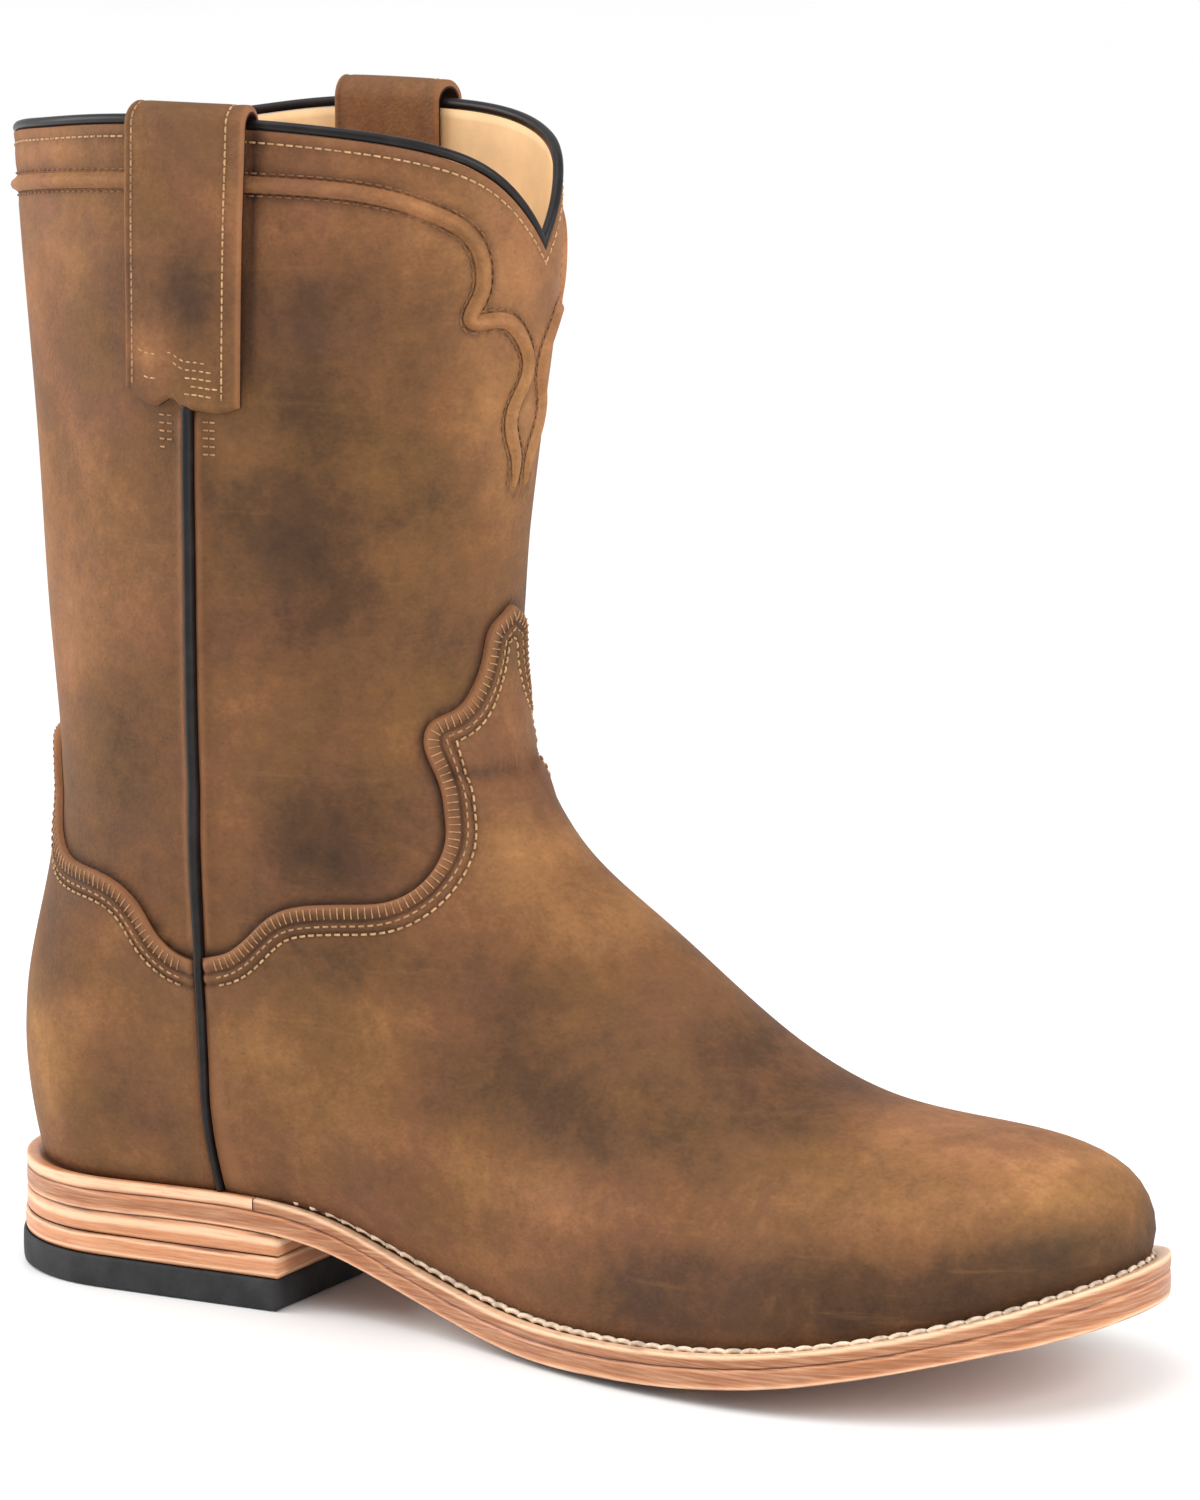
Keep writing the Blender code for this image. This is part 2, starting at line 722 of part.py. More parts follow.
def bead_sections(u, h, wide, high):
    """Half round sections of a raised bead that lies on the upper along u and h."""
    middle = offset_surface(u, h, np.full(len(u), BEAD_LIFT))
    up = upper_normal(u, h)
    along = np.gradient(middle, axis=0)
    side = np.cross(along, up)
    side = side / np.linalg.norm(side, axis=-1, keepdims=True)
    parts = [middle + side * across * wide + up * rise * high for across, rise in BEAD_PROFILE]
    return np.stack(parts, 1)


def make_seam_bead(medial):
    name = "side_piping_medial" if medial else "side_piping_lateral"
    foot = float(FEATHER["height"](SEAM["x"](SEAM_EDGE_FOOT))) + 1.0
    z = np.linspace(foot, SEAM_BEAD_TOP, PIPING_STEPS)
    u, h = place_at(SEAM["x"](z), z, medial)
    sections = bead_sections(u, h, SEAM_BEAD_WIDE, SEAM_BEAD_HIGH)
    points, faces = lofted_bar(sections)
    return add_piece(name, points, faces, PIPING)


def make_collar_bead():
    """Round piping along the whole collar edge, just above the wall."""
    u = np.arange(AROUND) / AROUND
    h = climb_at(u, collar_height(u))
    rim = offset_surface(u, h, np.full(AROUND, -WALL / 2.0))
    outward = upper_normal(u, h)
    along = np.roll(rim, -1, 0) - np.roll(rim, 1, 0)
    up = np.cross(outward, along)
    up = up / np.linalg.norm(up, axis=-1, keepdims=True)
    up = np.where(up[:, 2:] < 0.0, -up, up)
    radius = COLLAR_BEAD / 2.0
    lift = (radius + GAP) / np.clip(up[:, 2:], STEEPEST_RIM, 1.0)
    middle = rim + np.array([0.0, 0.0, 1.0]) * lift
    turns = 2.0 * pi * np.arange(COLLAR_BEAD_SIDES) / COLLAR_BEAD_SIDES
    parts = [middle + outward * radius * cos(t) + up * radius * sin(t) for t in turns]
    points, faces = lofted_bar(np.stack(parts, 1), closed=True)
    return add_piece("collar_piping", points, faces, PIPING)


def make_cord():
    """Raised cord round the shaft; both ends run down the front beside each other."""
    half = path_through(CORD_ROWS, CORD_STEPS)
    u = np.concatenate([half[:, 0], 1.0 - half[-2::-1, 0]])
    z = np.concatenate([half[:, 1], half[-2::-1, 1]])
    u[len(half) - 1] = 0.0
    h = climb_at(u, z)
    points, faces = lofted_bar(bead_sections(u, h, CORD_WIDE, CORD_HIGH))
    return add_piece("shaft_cord", points, faces, LEATHER)


def strap_face():
    """Inner face of the pull strap as distance from the shaft and height, bottom up and
    over the collar, with the direction in which its thickness lies."""
    path = [("rise", t) for t in np.linspace(0.0, 1.0, STRAP_STEPS)[:-1]]
    centre = STRAP_RISE_ROWS[-1][1] - STRAP_LOOP_RADIUS
    for t in np.linspace(0.0, pi, STRAP_STEPS):
        offset = centre + STRAP_LOOP_RADIUS * cos(t)
        z = STRAP_LOOP_Z + STRAP_LOOP_RADIUS * sin(t)
        path.append(("loop", offset, z, cos(t), sin(t)))
    drop = STRAP_LOOP_Z - STRAP_INNER_END
    for t in np.linspace(0.0, 1.0, STRAP_INSIDE_STEPS)[1:]:
        path.append(("inside", STRAP_INNER_OFFSET, STRAP_LOOP_Z - drop * t))
    return path


def make_strap(medial):
    """Leather strap stitched to the shaft at its lower end and looped over the collar."""
    name = "pull_strap_medial" if medial else "pull_strap_lateral"
    across = np.linspace(-0.5, 0.5, STRAP_ACROSS) * STRAP_WIDE
    sections = []
    for step in strap_face():
        near = []
        far = []
        for place in across:
            if step[0] == "rise":
                low = float(STRAP_EDGE["z"](place))
                z = low + (STRAP_LOOP_Z - low) * step[1]
                offset, out, up = float(STRAP_RISE["offset"](z)), 1.0, 0.0
            elif step[0] == "loop":
                offset, z, out, up = step[1:]
            else:
                offset, z, out, up = step[1], step[2], -1.0, 0.0
            level = min(z, STRAP_LOOP_Z)
            centre = float(STRAP_RISE["medial" if medial else "lateral"](level))
            if step[0] == "inside":
                centre = STRAP_RISE_ROWS[-1][3 if medial else 2]
            u, h = place_at(centre + place, level, medial)
            base = upper_surface(u, h)
            normal = upper_normal(u, h) * np.array([1.0, 1.0, 0.0])
            normal = normal / np.linalg.norm(normal)
            point = base + normal * offset + np.array([0.0, 0.0, z - level])
            near.append(point)
            far.append(point + (normal * out + np.array([0.0, 0.0, up])) * STRAP_THICK)
        sections.append(near + far[::-1])
    points, faces = lofted_bar(sections)
    return add_piece(name, points, faces, LEATHER)


def edge_u(x, medial):
    """u of the feather line at x."""
    share = (x - HEEL_BACK) / (TOE_FRONT - HEEL_BACK)
    u = float(np.arccos(1.0 - 2.0 * share) / (2.0 * pi))
    return 1.0 - u if medial else u


def bottom_band(name, u, look):
    """Flat band under the edge of the upper, from beneath its wall to the sole's edge."""
    inner = rim_line(u, -WALL)
    outer = sole_line(u)
    sections = []
    for near, far in zip(inner, outer):
        sections.append([
            (near[0], near[1], rim_height(near[0]) - GAP),
            (far[0], far[1], rim_height(far[0]) - GAP),
            (far[0], far[1], sole_top(far[0]) + GAP),
            (near[0], near[1], sole_top(near[0]) + GAP),
        ])
    points, faces = lofted_bar(sections)
    return add_piece(name, points, faces, look)


def band_stations(first, last):
    """Values of u between two ends, twice as close as the upper's lattice."""
    fine = 2 * AROUND
    clear = 0.002
    steps = np.arange(-fine, fine) / fine
    between = steps[(steps > first + clear) & (steps < last - clear)]
    return np.array([first, *between, last])


def make_welt():
    start = edge_u(BREAST_X + GAP / 2.0, False)
    return bottom_band("welt", band_stations(start, 1.0 - start), STACKED)


def make_rand():
    start = edge_u(BREAST_X - GAP / 2.0, False)
    return bottom_band("heel_rand", band_stations(-start, start), STACKED)


def edge_points(outline, x, medial):
    """Points of a plan outline at the given x on one side, by halving."""
    low = np.zeros(len(x))
    high = np.full(len(x), 0.5)
    for _ in range(30):
        middle = (low + high) / 2.0
        beyond = outline(1.0 - middle if medial else middle)[:, 0] > x
        high = np.where(beyond, middle, high)
        low = np.where(beyond, low, middle)
    return outline(1.0 - low if medial else low)


def insole_line(u):
    return rim_line(u, -WALL - INSOLE_GAP)


def cross_lines(outline, until=None):
    """Cross lines of a plate from heel to toe, at the places of the wall's lattice and
    closer together at its round ends."""
    ends = outline(np.array([0.0, 0.5]))
    knots = upper_surface(np.arange(AROUND // 2 + 1) / AROUND, 0.0)[:, 0]
    back, front = ends[0][0], ends[1][0]
    clear = 0.8
    inner = [x for x in knots if back + clear < x < front - clear]
    closer = np.array(END_STATIONS)
    stations = list(back + closer * (inner[0] - back)) + inner
    stations += list(front - closer[::-1] * (front - inner[-1]))
    if until is not None:
        stations = [x for x in stations if x < until - 1.0] + [until]
    x = np.array(stations)
    lateral = edge_points(outline, x, False)
    medial = edge_points(outline, x, True)
    lines = [(ends[0], ends[0])] + list(zip(lateral, medial))
    if until is None:
        lines.append((ends[1], ends[1]))
    return lines


def sole_bottom(x, side):
    """Underside of the outsole: its middle hangs lower at the ball and rests flat there."""
    edge = sole_top(x) - lattice_value("sole", x)
    swell = np.clip(1.0 - abs(x - CROWN_PLACE) / CROWN_LENGTH, 0.0, 1.0)
    crown = SOLE_CROWN * float(np.sin(swell * pi / 2.0)) * (1.0 - side ** 2)
    return max(0.0, edge - crown)


def make_outsole():
    points, faces = plate(cross_lines(sole_line), sole_top, sole_bottom, across=8)
    return add_piece("outsole", points, faces, STACKED)


def make_insole():
    def top(x, side):
        return rim_height(x) + INSOLE_RISE

    def bottom(x, side):
        return sole_top(x) + GAP

    points, faces = plate(cross_lines(insole_line), top, bottom)
    return add_piece("insole", points, faces, INSOLE)


def make_heel_layer(name, top, bottom, flare, look):
    def outline(u):
        return sole_line(u, flare)

    points, faces = plate(cross_lines(outline, BREAST_X), top, bottom, across=4)
    return add_piece(name, points, faces, look)


def make_heel():
    def under_sole(x, side):
        return sole_bottom(x, 1.0) - GAP

    def level(z):
        return lambda x, side: z

    lift = level(LIFT_SPLIT + GAP)
    make_heel_layer("heel_lift_upper", under_sole, lift, 0.0, STACKED)
    lift = level(RUBBER_THICK + GAP)
    make_heel_layer("heel_lift_lower", level(LIFT_SPLIT), lift, LIFT_FLARE, STACKED)
    make_heel_layer("heel_cap", level(RUBBER_THICK), level(0.0), CAP_FLARE, RUBBER)


def main():
    clear_scene()
    make_upper()
    make_vamp()
    make_counter()
    make_collar_bead()
    make_cord()
    for medial in (False, True):
        make_seam_bead(medial)
        make_strap(medial)
    make_insole()
    make_welt()
    make_rand()
    make_outsole()
    make_heel()


main()
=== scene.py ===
"""Roper boot for the right foot: the finished leather, stitching, sole and heel.

The boot stands on the floor (z = 0) with the centre of its heel at the origin, the toe
towards +X and the outer side of the foot towards -Y. The fixed model is in metres. The
tables and the surface functions below are in millimetres, and a mesh is written in metres.
"""

from math import cos, pi, radians, sin

import bpy
import numpy as np
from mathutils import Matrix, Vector
from mathutils.kdtree import KDTree


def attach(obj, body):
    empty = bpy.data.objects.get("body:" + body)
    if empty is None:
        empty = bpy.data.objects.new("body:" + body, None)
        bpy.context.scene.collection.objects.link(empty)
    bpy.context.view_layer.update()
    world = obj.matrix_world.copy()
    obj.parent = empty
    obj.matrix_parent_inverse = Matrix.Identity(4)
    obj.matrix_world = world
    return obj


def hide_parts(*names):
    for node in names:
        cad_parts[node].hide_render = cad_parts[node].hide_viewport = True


bl_info = {
    "name": "Roper boot",
    "version": (1, 0, 0),
    "blender": (4, 5, 0),
    "location": "3D View > Sidebar > Roper boot",
    "description": "Builds a roper boot's leather, trim, stitching and sole on its fixed model",
    "category": "Object",
}

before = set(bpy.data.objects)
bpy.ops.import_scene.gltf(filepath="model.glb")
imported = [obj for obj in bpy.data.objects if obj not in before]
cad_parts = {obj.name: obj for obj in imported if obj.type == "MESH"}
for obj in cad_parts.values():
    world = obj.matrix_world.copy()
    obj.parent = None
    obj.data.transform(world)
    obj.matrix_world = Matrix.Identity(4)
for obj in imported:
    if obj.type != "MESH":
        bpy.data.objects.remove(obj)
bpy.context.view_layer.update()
BODY = "root"
MM = 0.001

# Thicknesses of the leather, and sizes of the foot, sole and heel
WALL = 2.2
OVERLAY = 1.7
GAP = 0.3
HEEL_BACK = -37.0
TOE_FRONT = 249.0
HEEL_ROUND = 31.0
TOE_ROUND = 66.0
FULLNESS = 2.1
TOE_SPREAD = 2.0
TOE_SPREAD_CLIMB = 8.0
BODY_RISE = 26.0
SOLE_FOLLOW = 75.0
FOLLOW_POWER = 1.6
FOOT_SWING_TOP = 260.0
THROAT_X = 98.0
CREST_CLIMB = 1.6
CAP_FLARE = 1.1
LIFT_FLARE = 0.4
LAYER_GAP = 0.12
SOLE_CROWN = 2.2
CROWN_PLACE = 128.0
CROWN_LENGTH = 75.0
BREAST_X = 44.0
WELT_START = 37.0
RAND_END = 36.7
RUBBER_THICK = 7.7
LIFT_SPLIT = 13.1

# Accuracy: points along an outline, halvings of a search, and steps in u and in the climb
# over which a slope is measured
OUTLINE_POINTS = 3000
HALVINGS = 34
U_STEP = 0.002
FEATHER_STEP = 0.003
NORMAL_STEP = 1.5
TINY = 1e-9

# The feather line from above: half widths at the sole and of the leather's body above it
FOOT_COLUMNS = ("x", "lateral", "medial", "lateral_body", "medial_body")
FOOT_ROWS = [
    (-38, 30.0, 30.0, 33.0, 33.0),
    (-10, 31.0, 31.0, 34.5, 34.0),
    (20, 30.5, 30.0, 35.5, 35.0),
    (45, 28.5, 27.5, 36.5, 35.5),
    (80, 27.0, 23.0, 37.0, 34.5),
    (105, 33.0, 28.0, 38.5, 36.0),
    (130, 41.5, 36.0, 43.0, 39.0),
    (155, 47.5, 42.0, 48.0, 43.0),
    (180, 50.0, 43.5, 50.0, 44.0),
    (210, 49.0, 41.5, 49.0, 42.0),
    (250, 47.0, 39.0, 47.5, 39.5),
]

# Height of the feather line, the toe's swing to the inner side, the ledge of sole that
# shows outside it, and the thicknesses of the welt and the outsole
FEATHER_COLUMNS = ("x", "height", "swing", "ledge", "welt", "sole")
FEATHER_ROWS = [
    (-38, 27.1, 0.0, 6.4, 2.7, 5.0),
    (0, 27.1, 0.0, 3.8, 2.7, 5.0),
    (36, 27.1, 0.0, 3.6, 2.7, 5.0),
    (55, 24.5, 0.0, 4.6, 2.7, 4.8),
    (75, 17.8, 0.0, 5.6, 2.7, 4.4),
    (95, 12.3, 0.5, 6.0, 2.7, 4.5),
    (115, 9.8, 1.0, 6.2, 2.7, 4.9),
    (140, 9.9, 2.0, 6.3, 2.7, 5.0),
    (165, 11.6, 3.0, 6.4, 2.7, 5.0),
    (190, 15.0, 4.0, 6.4, 2.7, 4.9),
    (215, 20.0, 6.0, 6.4, 2.9, 4.7),
    (235, 25.0, 8.0, 6.6, 3.2, 5.1),
    (252, 30.0, 9.5, 6.4, 3.6, 6.3),
    (262, 33.0, 10.5, 6.4, 3.6, 6.3),
]

# Sections of the upper from the feather line to the collar, each a line in the side view
# from the back outline to the front outline. foot is the share of the foot's arch in the
# section, side the half width of the leg's oval, the rounds the lengths of its ends
RING_COLUMNS = ("front_x", "front_z", "back_x", "back_z",
                "foot", "side", "front_round", "back_round")
RING_ROWS = [
    (249.0, 29.1, -37.0, 27.1, 1.00, 30.0, 46.0, 31.0),
    (250.0, 37.0, -38.3, 35.0, 1.00, 30.0, 50.0, 32.0),
    (247.0, 46.0, -39.4, 43.0, 1.00, 30.0, 60.0, 33.0),
    (234.5, 53.2, -40.3, 52.0, 1.00, 32.0, 90.0, 36.0),
    (207.0, 57.0, -40.4, 62.0, 1.00, 34.0, 120.0, 40.0),
    (178.5, 61.7, -39.6, 71.0, 1.00, 36.0, 120.0, 44.0),
    (153.0, 76.4, -37.6, 82.0, 0.80, 37.5, 105.0, 48.0),
    (128.5, 95.4, -34.7, 95.0, 0.50, 38.5, 90.0, 52.0),
    (104.0, 113.2, -32.6, 110.0, 0.25, 39.5, 78.0, 56.0),
    (90.5, 139.0, -32.6, 132.0, 0.08, 40.5, 66.0, 59.0),
    (89.5, 170.0, -35.3, 160.0, 0.00, 41.5, 64.0, 62.0),
    (94.0, 210.0, -38.0, 203.0, 0.00, 42.5, 67.0, 66.0),
    (99.5, 250.0, -42.0, 248.0, 0.00, 43.0, 71.0, 71.0),
    (99.5, 290.0, -45.0, 290.0, 0.00, 43.0, 73.0, 73.0),
]

# How long the foot's arch stays wide as it climbs, and how round its crest is
ARCH_COLUMNS = ("x", "wide", "crest")
ARCH_ROWS = [
    (-50, 2.6, 1.90),
    (90, 2.3, 1.75),
    (120, 2.1, 1.75),
    (160, 2.1, 1.95),
    (200, 2.3, 2.20),
    (255, 2.5, 2.30),
]

# Collar edge: u runs from the back (0) to the notch at the front (0.5)
COLLAR_COLUMNS = ("u", "lateral", "medial")
COLLAR_ROWS = [
    (0.000, 275.0, 275.0),
    (0.050, 276.3, 275.3),
    (0.085, 278.2, 276.0),
    (0.136, 280.4, 276.8),
    (0.178, 282.2, 278.9),
    (0.213, 283.3, 281.0),
    (0.284, 283.5, 282.6),
    (0.346, 281.6, 281.8),
    (0.398, 278.0, 278.4),
    (0.440, 271.8, 272.4),
    (0.473, 263.0, 263.0),
    (0.500, 254.5, 254.5),
]

# Side seam, in the side view, and the heights between which its u is worked out
SEAM_REACH = (27.5, 282.0)
SEAM_POINTS = 60
SEAM_COLUMNS = ("z", "x")
SEAM_ROWS = [
    (0, 27.7),
    (28, 27.2),
    (50, 26.7),
    (85, 25.2),
    (130, 26.2),
    (172, 27.4),
    (220, 28.2),
    (290, 29.2),
]

# Free edges of the vamp and of the heel counter in the side view, from the side seam on
VAMP_EDGE_ROWS = [
    (27.4, 85.6),
    (34.0, 87.8),
    (39.5, 92.4),
    (46.0, 98.0),
    (57.5, 101.4),
    (66.0, 102.2),
    (72.5, 102.8),
    (79.5, 105.4),
    (84.0, 110.4),
    (85.5, 116.4),
    (84.3, 123.6),
    (81.8, 132.1),
    (79.0, 141.4),
    (79.8, 144.5),
    (83.9, 147.6),
    (86.2, 152.8),
    (87.4, 160.0),
    (88.4, 166.6),
    (90.6, 171.4),
]
COUNTER_EDGE_ROWS = [
    (23.2, 84.6),
    (19.0, 85.6),
    (13.0, 89.8),
    (8.0, 96.4),
    (2.5, 100.6),
    (-7.5, 103.2),
    (-18.5, 105.4),
    (-24.0, 112.5),
    (-26.3, 120.0),
    (-27.2, 127.5),
    (-30.0, 132.4),
    (-38.0, 134.0),
]

# Raised cord of the shaft, from the front over the side to the back, by u and height
CORD_ROWS = [
    (0.4900, 199.0),
    (0.4880, 206.5),
    (0.4770, 213.0),
    (0.4770, 219.0),
    (0.4870, 225.0),
    (0.4860, 230.5),
    (0.4720, 236.0),
    (0.4480, 239.6),
    (0.4290, 239.4),
    (0.4300, 244.5),
    (0.4330, 250.0),
    (0.4280, 256.4),
    (0.4110, 262.2),
    (0.3900, 265.6),
    (0.3640, 268.6),
    (0.2850, 271.0),
    (0.2070, 270.2),
    (0.1540, 268.6),
    (0.0860, 265.8),
    (0.0000, 262.5),
]

# Pull strap: distance of its inner face from the shaft, and the x of its middle line
STRAP_RISE_COLUMNS = ("z", "offset", "lateral", "medial")
STRAP_RISE_ROWS = [
    (216, 0.5, 26.5, 28.5),
    (232, 0.9, 27.2, 29.5),
    (250, 1.8, 28.2, 30.7),
    (264, 2.8, 29.1, 31.7),
    (276, 3.3, 29.8, 32.5),
    (284, 3.6, 30.2, 33.0),
]
STRAP_LOOP_Z = 284.0
STRAP_LOOP_RADIUS = 3.3
STRAP_INNER_OFFSET = -3.0
STRAP_INNER_END = 242.0
STRAP_RISE_STEPS = 70
STRAP_LOOP_STEPS = 19
STRAP_INSIDE_STEPS = 24
STRAP_EDGE_COLUMNS = ("across", "z")
STRAP_EDGE_ROWS = [
    (-15.5, 221.5),
    (-11.0, 219.2),
    (-6.0, 218.4),
    (-2.0, 220.2),
    (0.0, 218.6),
    (4.0, 217.8),
    (10.0, 217.4),
    (15.5, 219.0),
]

# Soft troughs (negative) and swellings of the leather: place in the side view, size along
# and across, depth, and how far the long direction leans from level. They sag a little
# towards their ends
CREASE_SAG = 0.012
CREASE_SAG_ALONG = 14.0
CREASE_COLUMNS = ("x", "z", "along", "across", "depth", "lean")
CREASE_ROWS = [
    (93, 131, 14, 2.0, -1.05, -14),
    (88, 126, 20, 3.4, 0.60, -14),
    (97, 121, 13, 2.6, -0.45, -24),
    (60, 150, 26, 6.0, -0.35, 12),
    (20, 128, 22, 6.0, -0.35, -6),
    (-14, 120, 20, 5.0, -0.45, 8),
    (2, 150, 22, 8.0, 0.40, 4),
    (70, 190, 24, 11.0, -0.35, -8),
    (45, 205, 20, 9.0, 0.35, 15),
    (158, 62, 16, 4.0, -0.30, -52),
    (170, 52, 15, 4.5, -0.30, -60),
    (182, 44, 17, 5.0, 0.25, -64),
    (110, 60, 26, 9.0, -0.30, -20),
]

# Patches of darker (negative) and lighter leather in the side view; among them, as marked,
# painted shade in a crease and on the lower toe, and painted highlights on the toe and along the
# shaft's edges
PATCH_COLUMNS = ("x", "z", "long", "high", "tone")
PATCH_ROWS = [
    (-12, 62, 24, 30, 0.55),
    # Painted highlight along the front edge of the shaft
    (95, 175, 8, 60, 0.30),
    (40, 60, 30, 25, 0.12),
    (57, 236, 15, 34, -0.44),
    (28, 251, 14, 20, -0.50),
    (20, 262, 10, 14, -0.22),
    (55, 191, 17, 24, -0.52),
    (85, 196, 12, 20, -0.40),
    (62, 172, 16, 14, -0.36),
    (85, 163, 12, 15, -0.43),
    (5, 140, 16, 14, -0.50),
    (0, 119, 18, 12, -0.40),
    (58, 117, 20, 13, -0.55),
    (68, 108, 16, 8, -0.40),
    (60, 88, 25, 8, -0.36),
    (98, 84, 18, 10, -0.25),
    (96, 126, 9, 9, -0.32),
    (140, 56, 34, 12, -0.66),
    (123, 62, 26, 12, -0.42),
    (160, 73, 16, 6, -0.60),
    (181, 64, 14, 5, -0.70),
    (-3, 56, 13, 9, -0.40),
    (-19, 79, 12, 13, -0.50),
    (3, 44, 15, 7, -0.25),
    # Painted shade along the lower toe, which faces down (next four rows)
    (150, 21, 30, 7, -0.75),
    (190, 24, 34, 7, -0.85),
    (228, 32, 26, 7, -0.85),
    (250, 37, 12, 8, -0.50),
    (80, 37, 20, 8, -0.40),
    (37, 44, 14, 9, -0.17),
    (110, 69, 14, 8, -0.30),
    (-14, 255, 12, 18, 0.41),
    (-12, 277, 14, 5, 0.50),
    (70, 262, 18, 10, 0.36),
    # Painted highlights along the front edge of the shaft (next two rows)
    (97, 255, 9, 22, 0.59),
    (95, 214, 7, 20, 0.45),
    (-4, 207, 12, 18, 0.45),
    (-12, 159, 11, 20, 0.50),
    (44, 212, 10, 14, 0.27),
    (73, 205, 9, 10, 0.27),
    (76, 184, 9, 10, 0.27),
    (42, 149, 14, 13, 0.41),
    (74, 143, 10, 11, 0.36),
    (37, 120, 9, 12, 0.45),
    # Painted highlight along the front edge of the shaft
    (90, 150, 6, 14, 0.34),
    (106, 114, 12, 10, 0.72),
    (124, 98, 14, 8, 0.68),
    (85, 78, 12, 8, 0.41),
    (38, 66, 12, 10, 0.32),
    (108, 41, 24, 8, 0.27),
    # Painted shade in the crease at the throat (next two rows)
    (88, 132.5, 6, 1.3, -0.80),
    (97, 130.5, 6, 1.3, -0.80),
    # Painted highlight on the top of the toe (next three rows)
    (215, 53, 28, 9, 0.52),
    (200, 57, 16, 5, 0.41),
    (238, 49, 14, 10, 0.42),
    (123, 24, 16, 4, 0.45),
    (-23, 46, 8, 12, 0.36),
    (20, 231, 8, 10, 0.23),
    (55, 180, 32, 85, -0.30),
    # Painted shade along the lower toe, which faces down (next three rows)
    (150, 27, 38, 9, -0.35),
    (195, 28, 40, 9, -0.50),
    (238, 36, 18, 9, -0.50),
    # Painted highlights along the front and the back edges of the shaft (next two rows)
    (92, 150, 7, 40, 0.20),
    (-30, 190, 8, 90, 0.45),
    (10, 90, 12, 5, 0.30),
    (150, 46, 60, 12, 0.12),
    (-25, 60, 14, 20, 0.30),
]


def smooth_curve(places, values):
    """Natural cubic curve through a short table, held at its end values outside it."""
    places = np.asarray(places, float)
    values = np.asarray(values, float)
    count = len(places)
    step = np.diff(places)
    slope = np.diff(values) / step
    matrix = np.eye(count)
    bend = np.zeros(count)
    for i in range(1, count - 1):
        matrix[i, i - 1] = step[i - 1]
        matrix[i, i] = 2.0 * (step[i - 1] + step[i])
        matrix[i, i + 1] = step[i]
        bend[i] = 6.0 * (slope[i] - slope[i - 1])
    bend = np.linalg.solve(matrix, bend)

    def curve(x):
        x = np.clip(np.asarray(x, float), places[0], places[-1])
        i = np.clip(np.searchsorted(places, x) - 1, 0, count - 2)
        a = (places[i + 1] - x) / step[i]
        b = (x - places[i]) / step[i]
        wave = ((a ** 3 - a) * bend[i] + (b ** 3 - b) * bend[i + 1]) * step[i] ** 2 / 6.0
        return a * values[i] + b * values[i + 1] + wave

    return curve


def table_curves(columns, rows):
    """A smooth curve for each named column, along the table's first column."""
    table = np.array(rows, float)
    return {name: smooth_curve(table[:, 0], table[:, k]) for k, name in enumerate(columns) if k}


def path_through(rows, count):
    """Points of a smooth line through a table's rows, evenly spaced along it."""
    table = np.array(rows, float)
    legs = np.linalg.norm(np.diff(table, axis=0) / np.ptp(table, axis=0), axis=1)
    along = np.concatenate([[0.0], np.cumsum(legs)])
    even = np.linspace(0.0, along[-1], count)
    return np.stack([smooth_curve(along, table[:, k])(even) for k in range(table.shape[1])], -1)


def closing(t, power=2.0):
    """Round end of an outline: 0 at t = 0, full at t = 1."""
    t = np.clip(t, 0.0, 1.0)
    return (1.0 - (1.0 - t) ** power) ** (1.0 / power)


def ridges(distance, *rows):
    """Soft ridges over a distance, each a (place, width, height); troughs are negative."""
    return sum(height * np.exp(-((distance - place) / width) ** 2)
               for place, width, height in rows)


def between(value, low, high):
    """Share of the way from low to high, held at 0 and 1."""
    return np.clip((value - low) / (high - low), 0.0, 1.0)


def unit(vectors):
    """Vectors along the last axis, made one long."""
    return vectors / np.maximum(np.linalg.norm(vectors, axis=-1, keepdims=True), TINY)


def travelled(line):
    """Distance along a line of points, at each of them."""
    return np.concatenate([[0.0], np.cumsum(np.linalg.norm(np.diff(line, axis=0), axis=1))])


def from_end(count):
    """Number of steps from each of a row of places to the nearer end."""
    return np.minimum(np.arange(count), np.arange(count)[::-1])


FOOT = table_curves(FOOT_COLUMNS, FOOT_ROWS)
FEATHER = table_curves(FEATHER_COLUMNS, FEATHER_ROWS)
ARCH = table_curves(ARCH_COLUMNS, ARCH_ROWS)
COLLAR = table_curves(COLLAR_COLUMNS, COLLAR_ROWS)
SEAM = table_curves(SEAM_COLUMNS, SEAM_ROWS)
STRAP_RISE = table_curves(STRAP_RISE_COLUMNS, STRAP_RISE_ROWS)
STRAP_EDGE = table_curves(STRAP_EDGE_COLUMNS, STRAP_EDGE_ROWS)


def ring_curves():
    """The ring table's columns as curves of the climb along the front outline."""
    table = np.array(RING_ROWS, float)
    climb = np.hypot(np.diff(table[:, 0]), np.diff(table[:, 1]))
    along = np.concatenate([[0.0], np.cumsum(climb)])
    curves = {name: smooth_curve(along, table[:, k]) for k, name in enumerate(RING_COLUMNS)}
    return curves, along[-1]


RING, CLIMB_TOP = ring_curves()


def crest_line():
    """Outline of the instep's crest from the throat to the toe, as x and z."""
    h = np.linspace(0.0, CLIMB_TOP, OUTLINE_POINTS)
    x = RING["front_x"](h)
    z = RING["front_z"](h)
    tip = int(np.argmax(x))
    throat = tip + int(np.argmax(x[tip:] < THROAT_X))
    return x[tip:throat][::-1].copy(), z[tip:throat][::-1].copy()


CREST_X, CREST_Z = crest_line()


def crest(x):
    """Height of the instep's crest over x, rising steadily behind the throat."""
    behind = CREST_Z[0] + CREST_CLIMB * (CREST_X[0] - x)
    return np.where(x < CREST_X[0], behind, np.interp(x, CREST_X, CREST_Z))


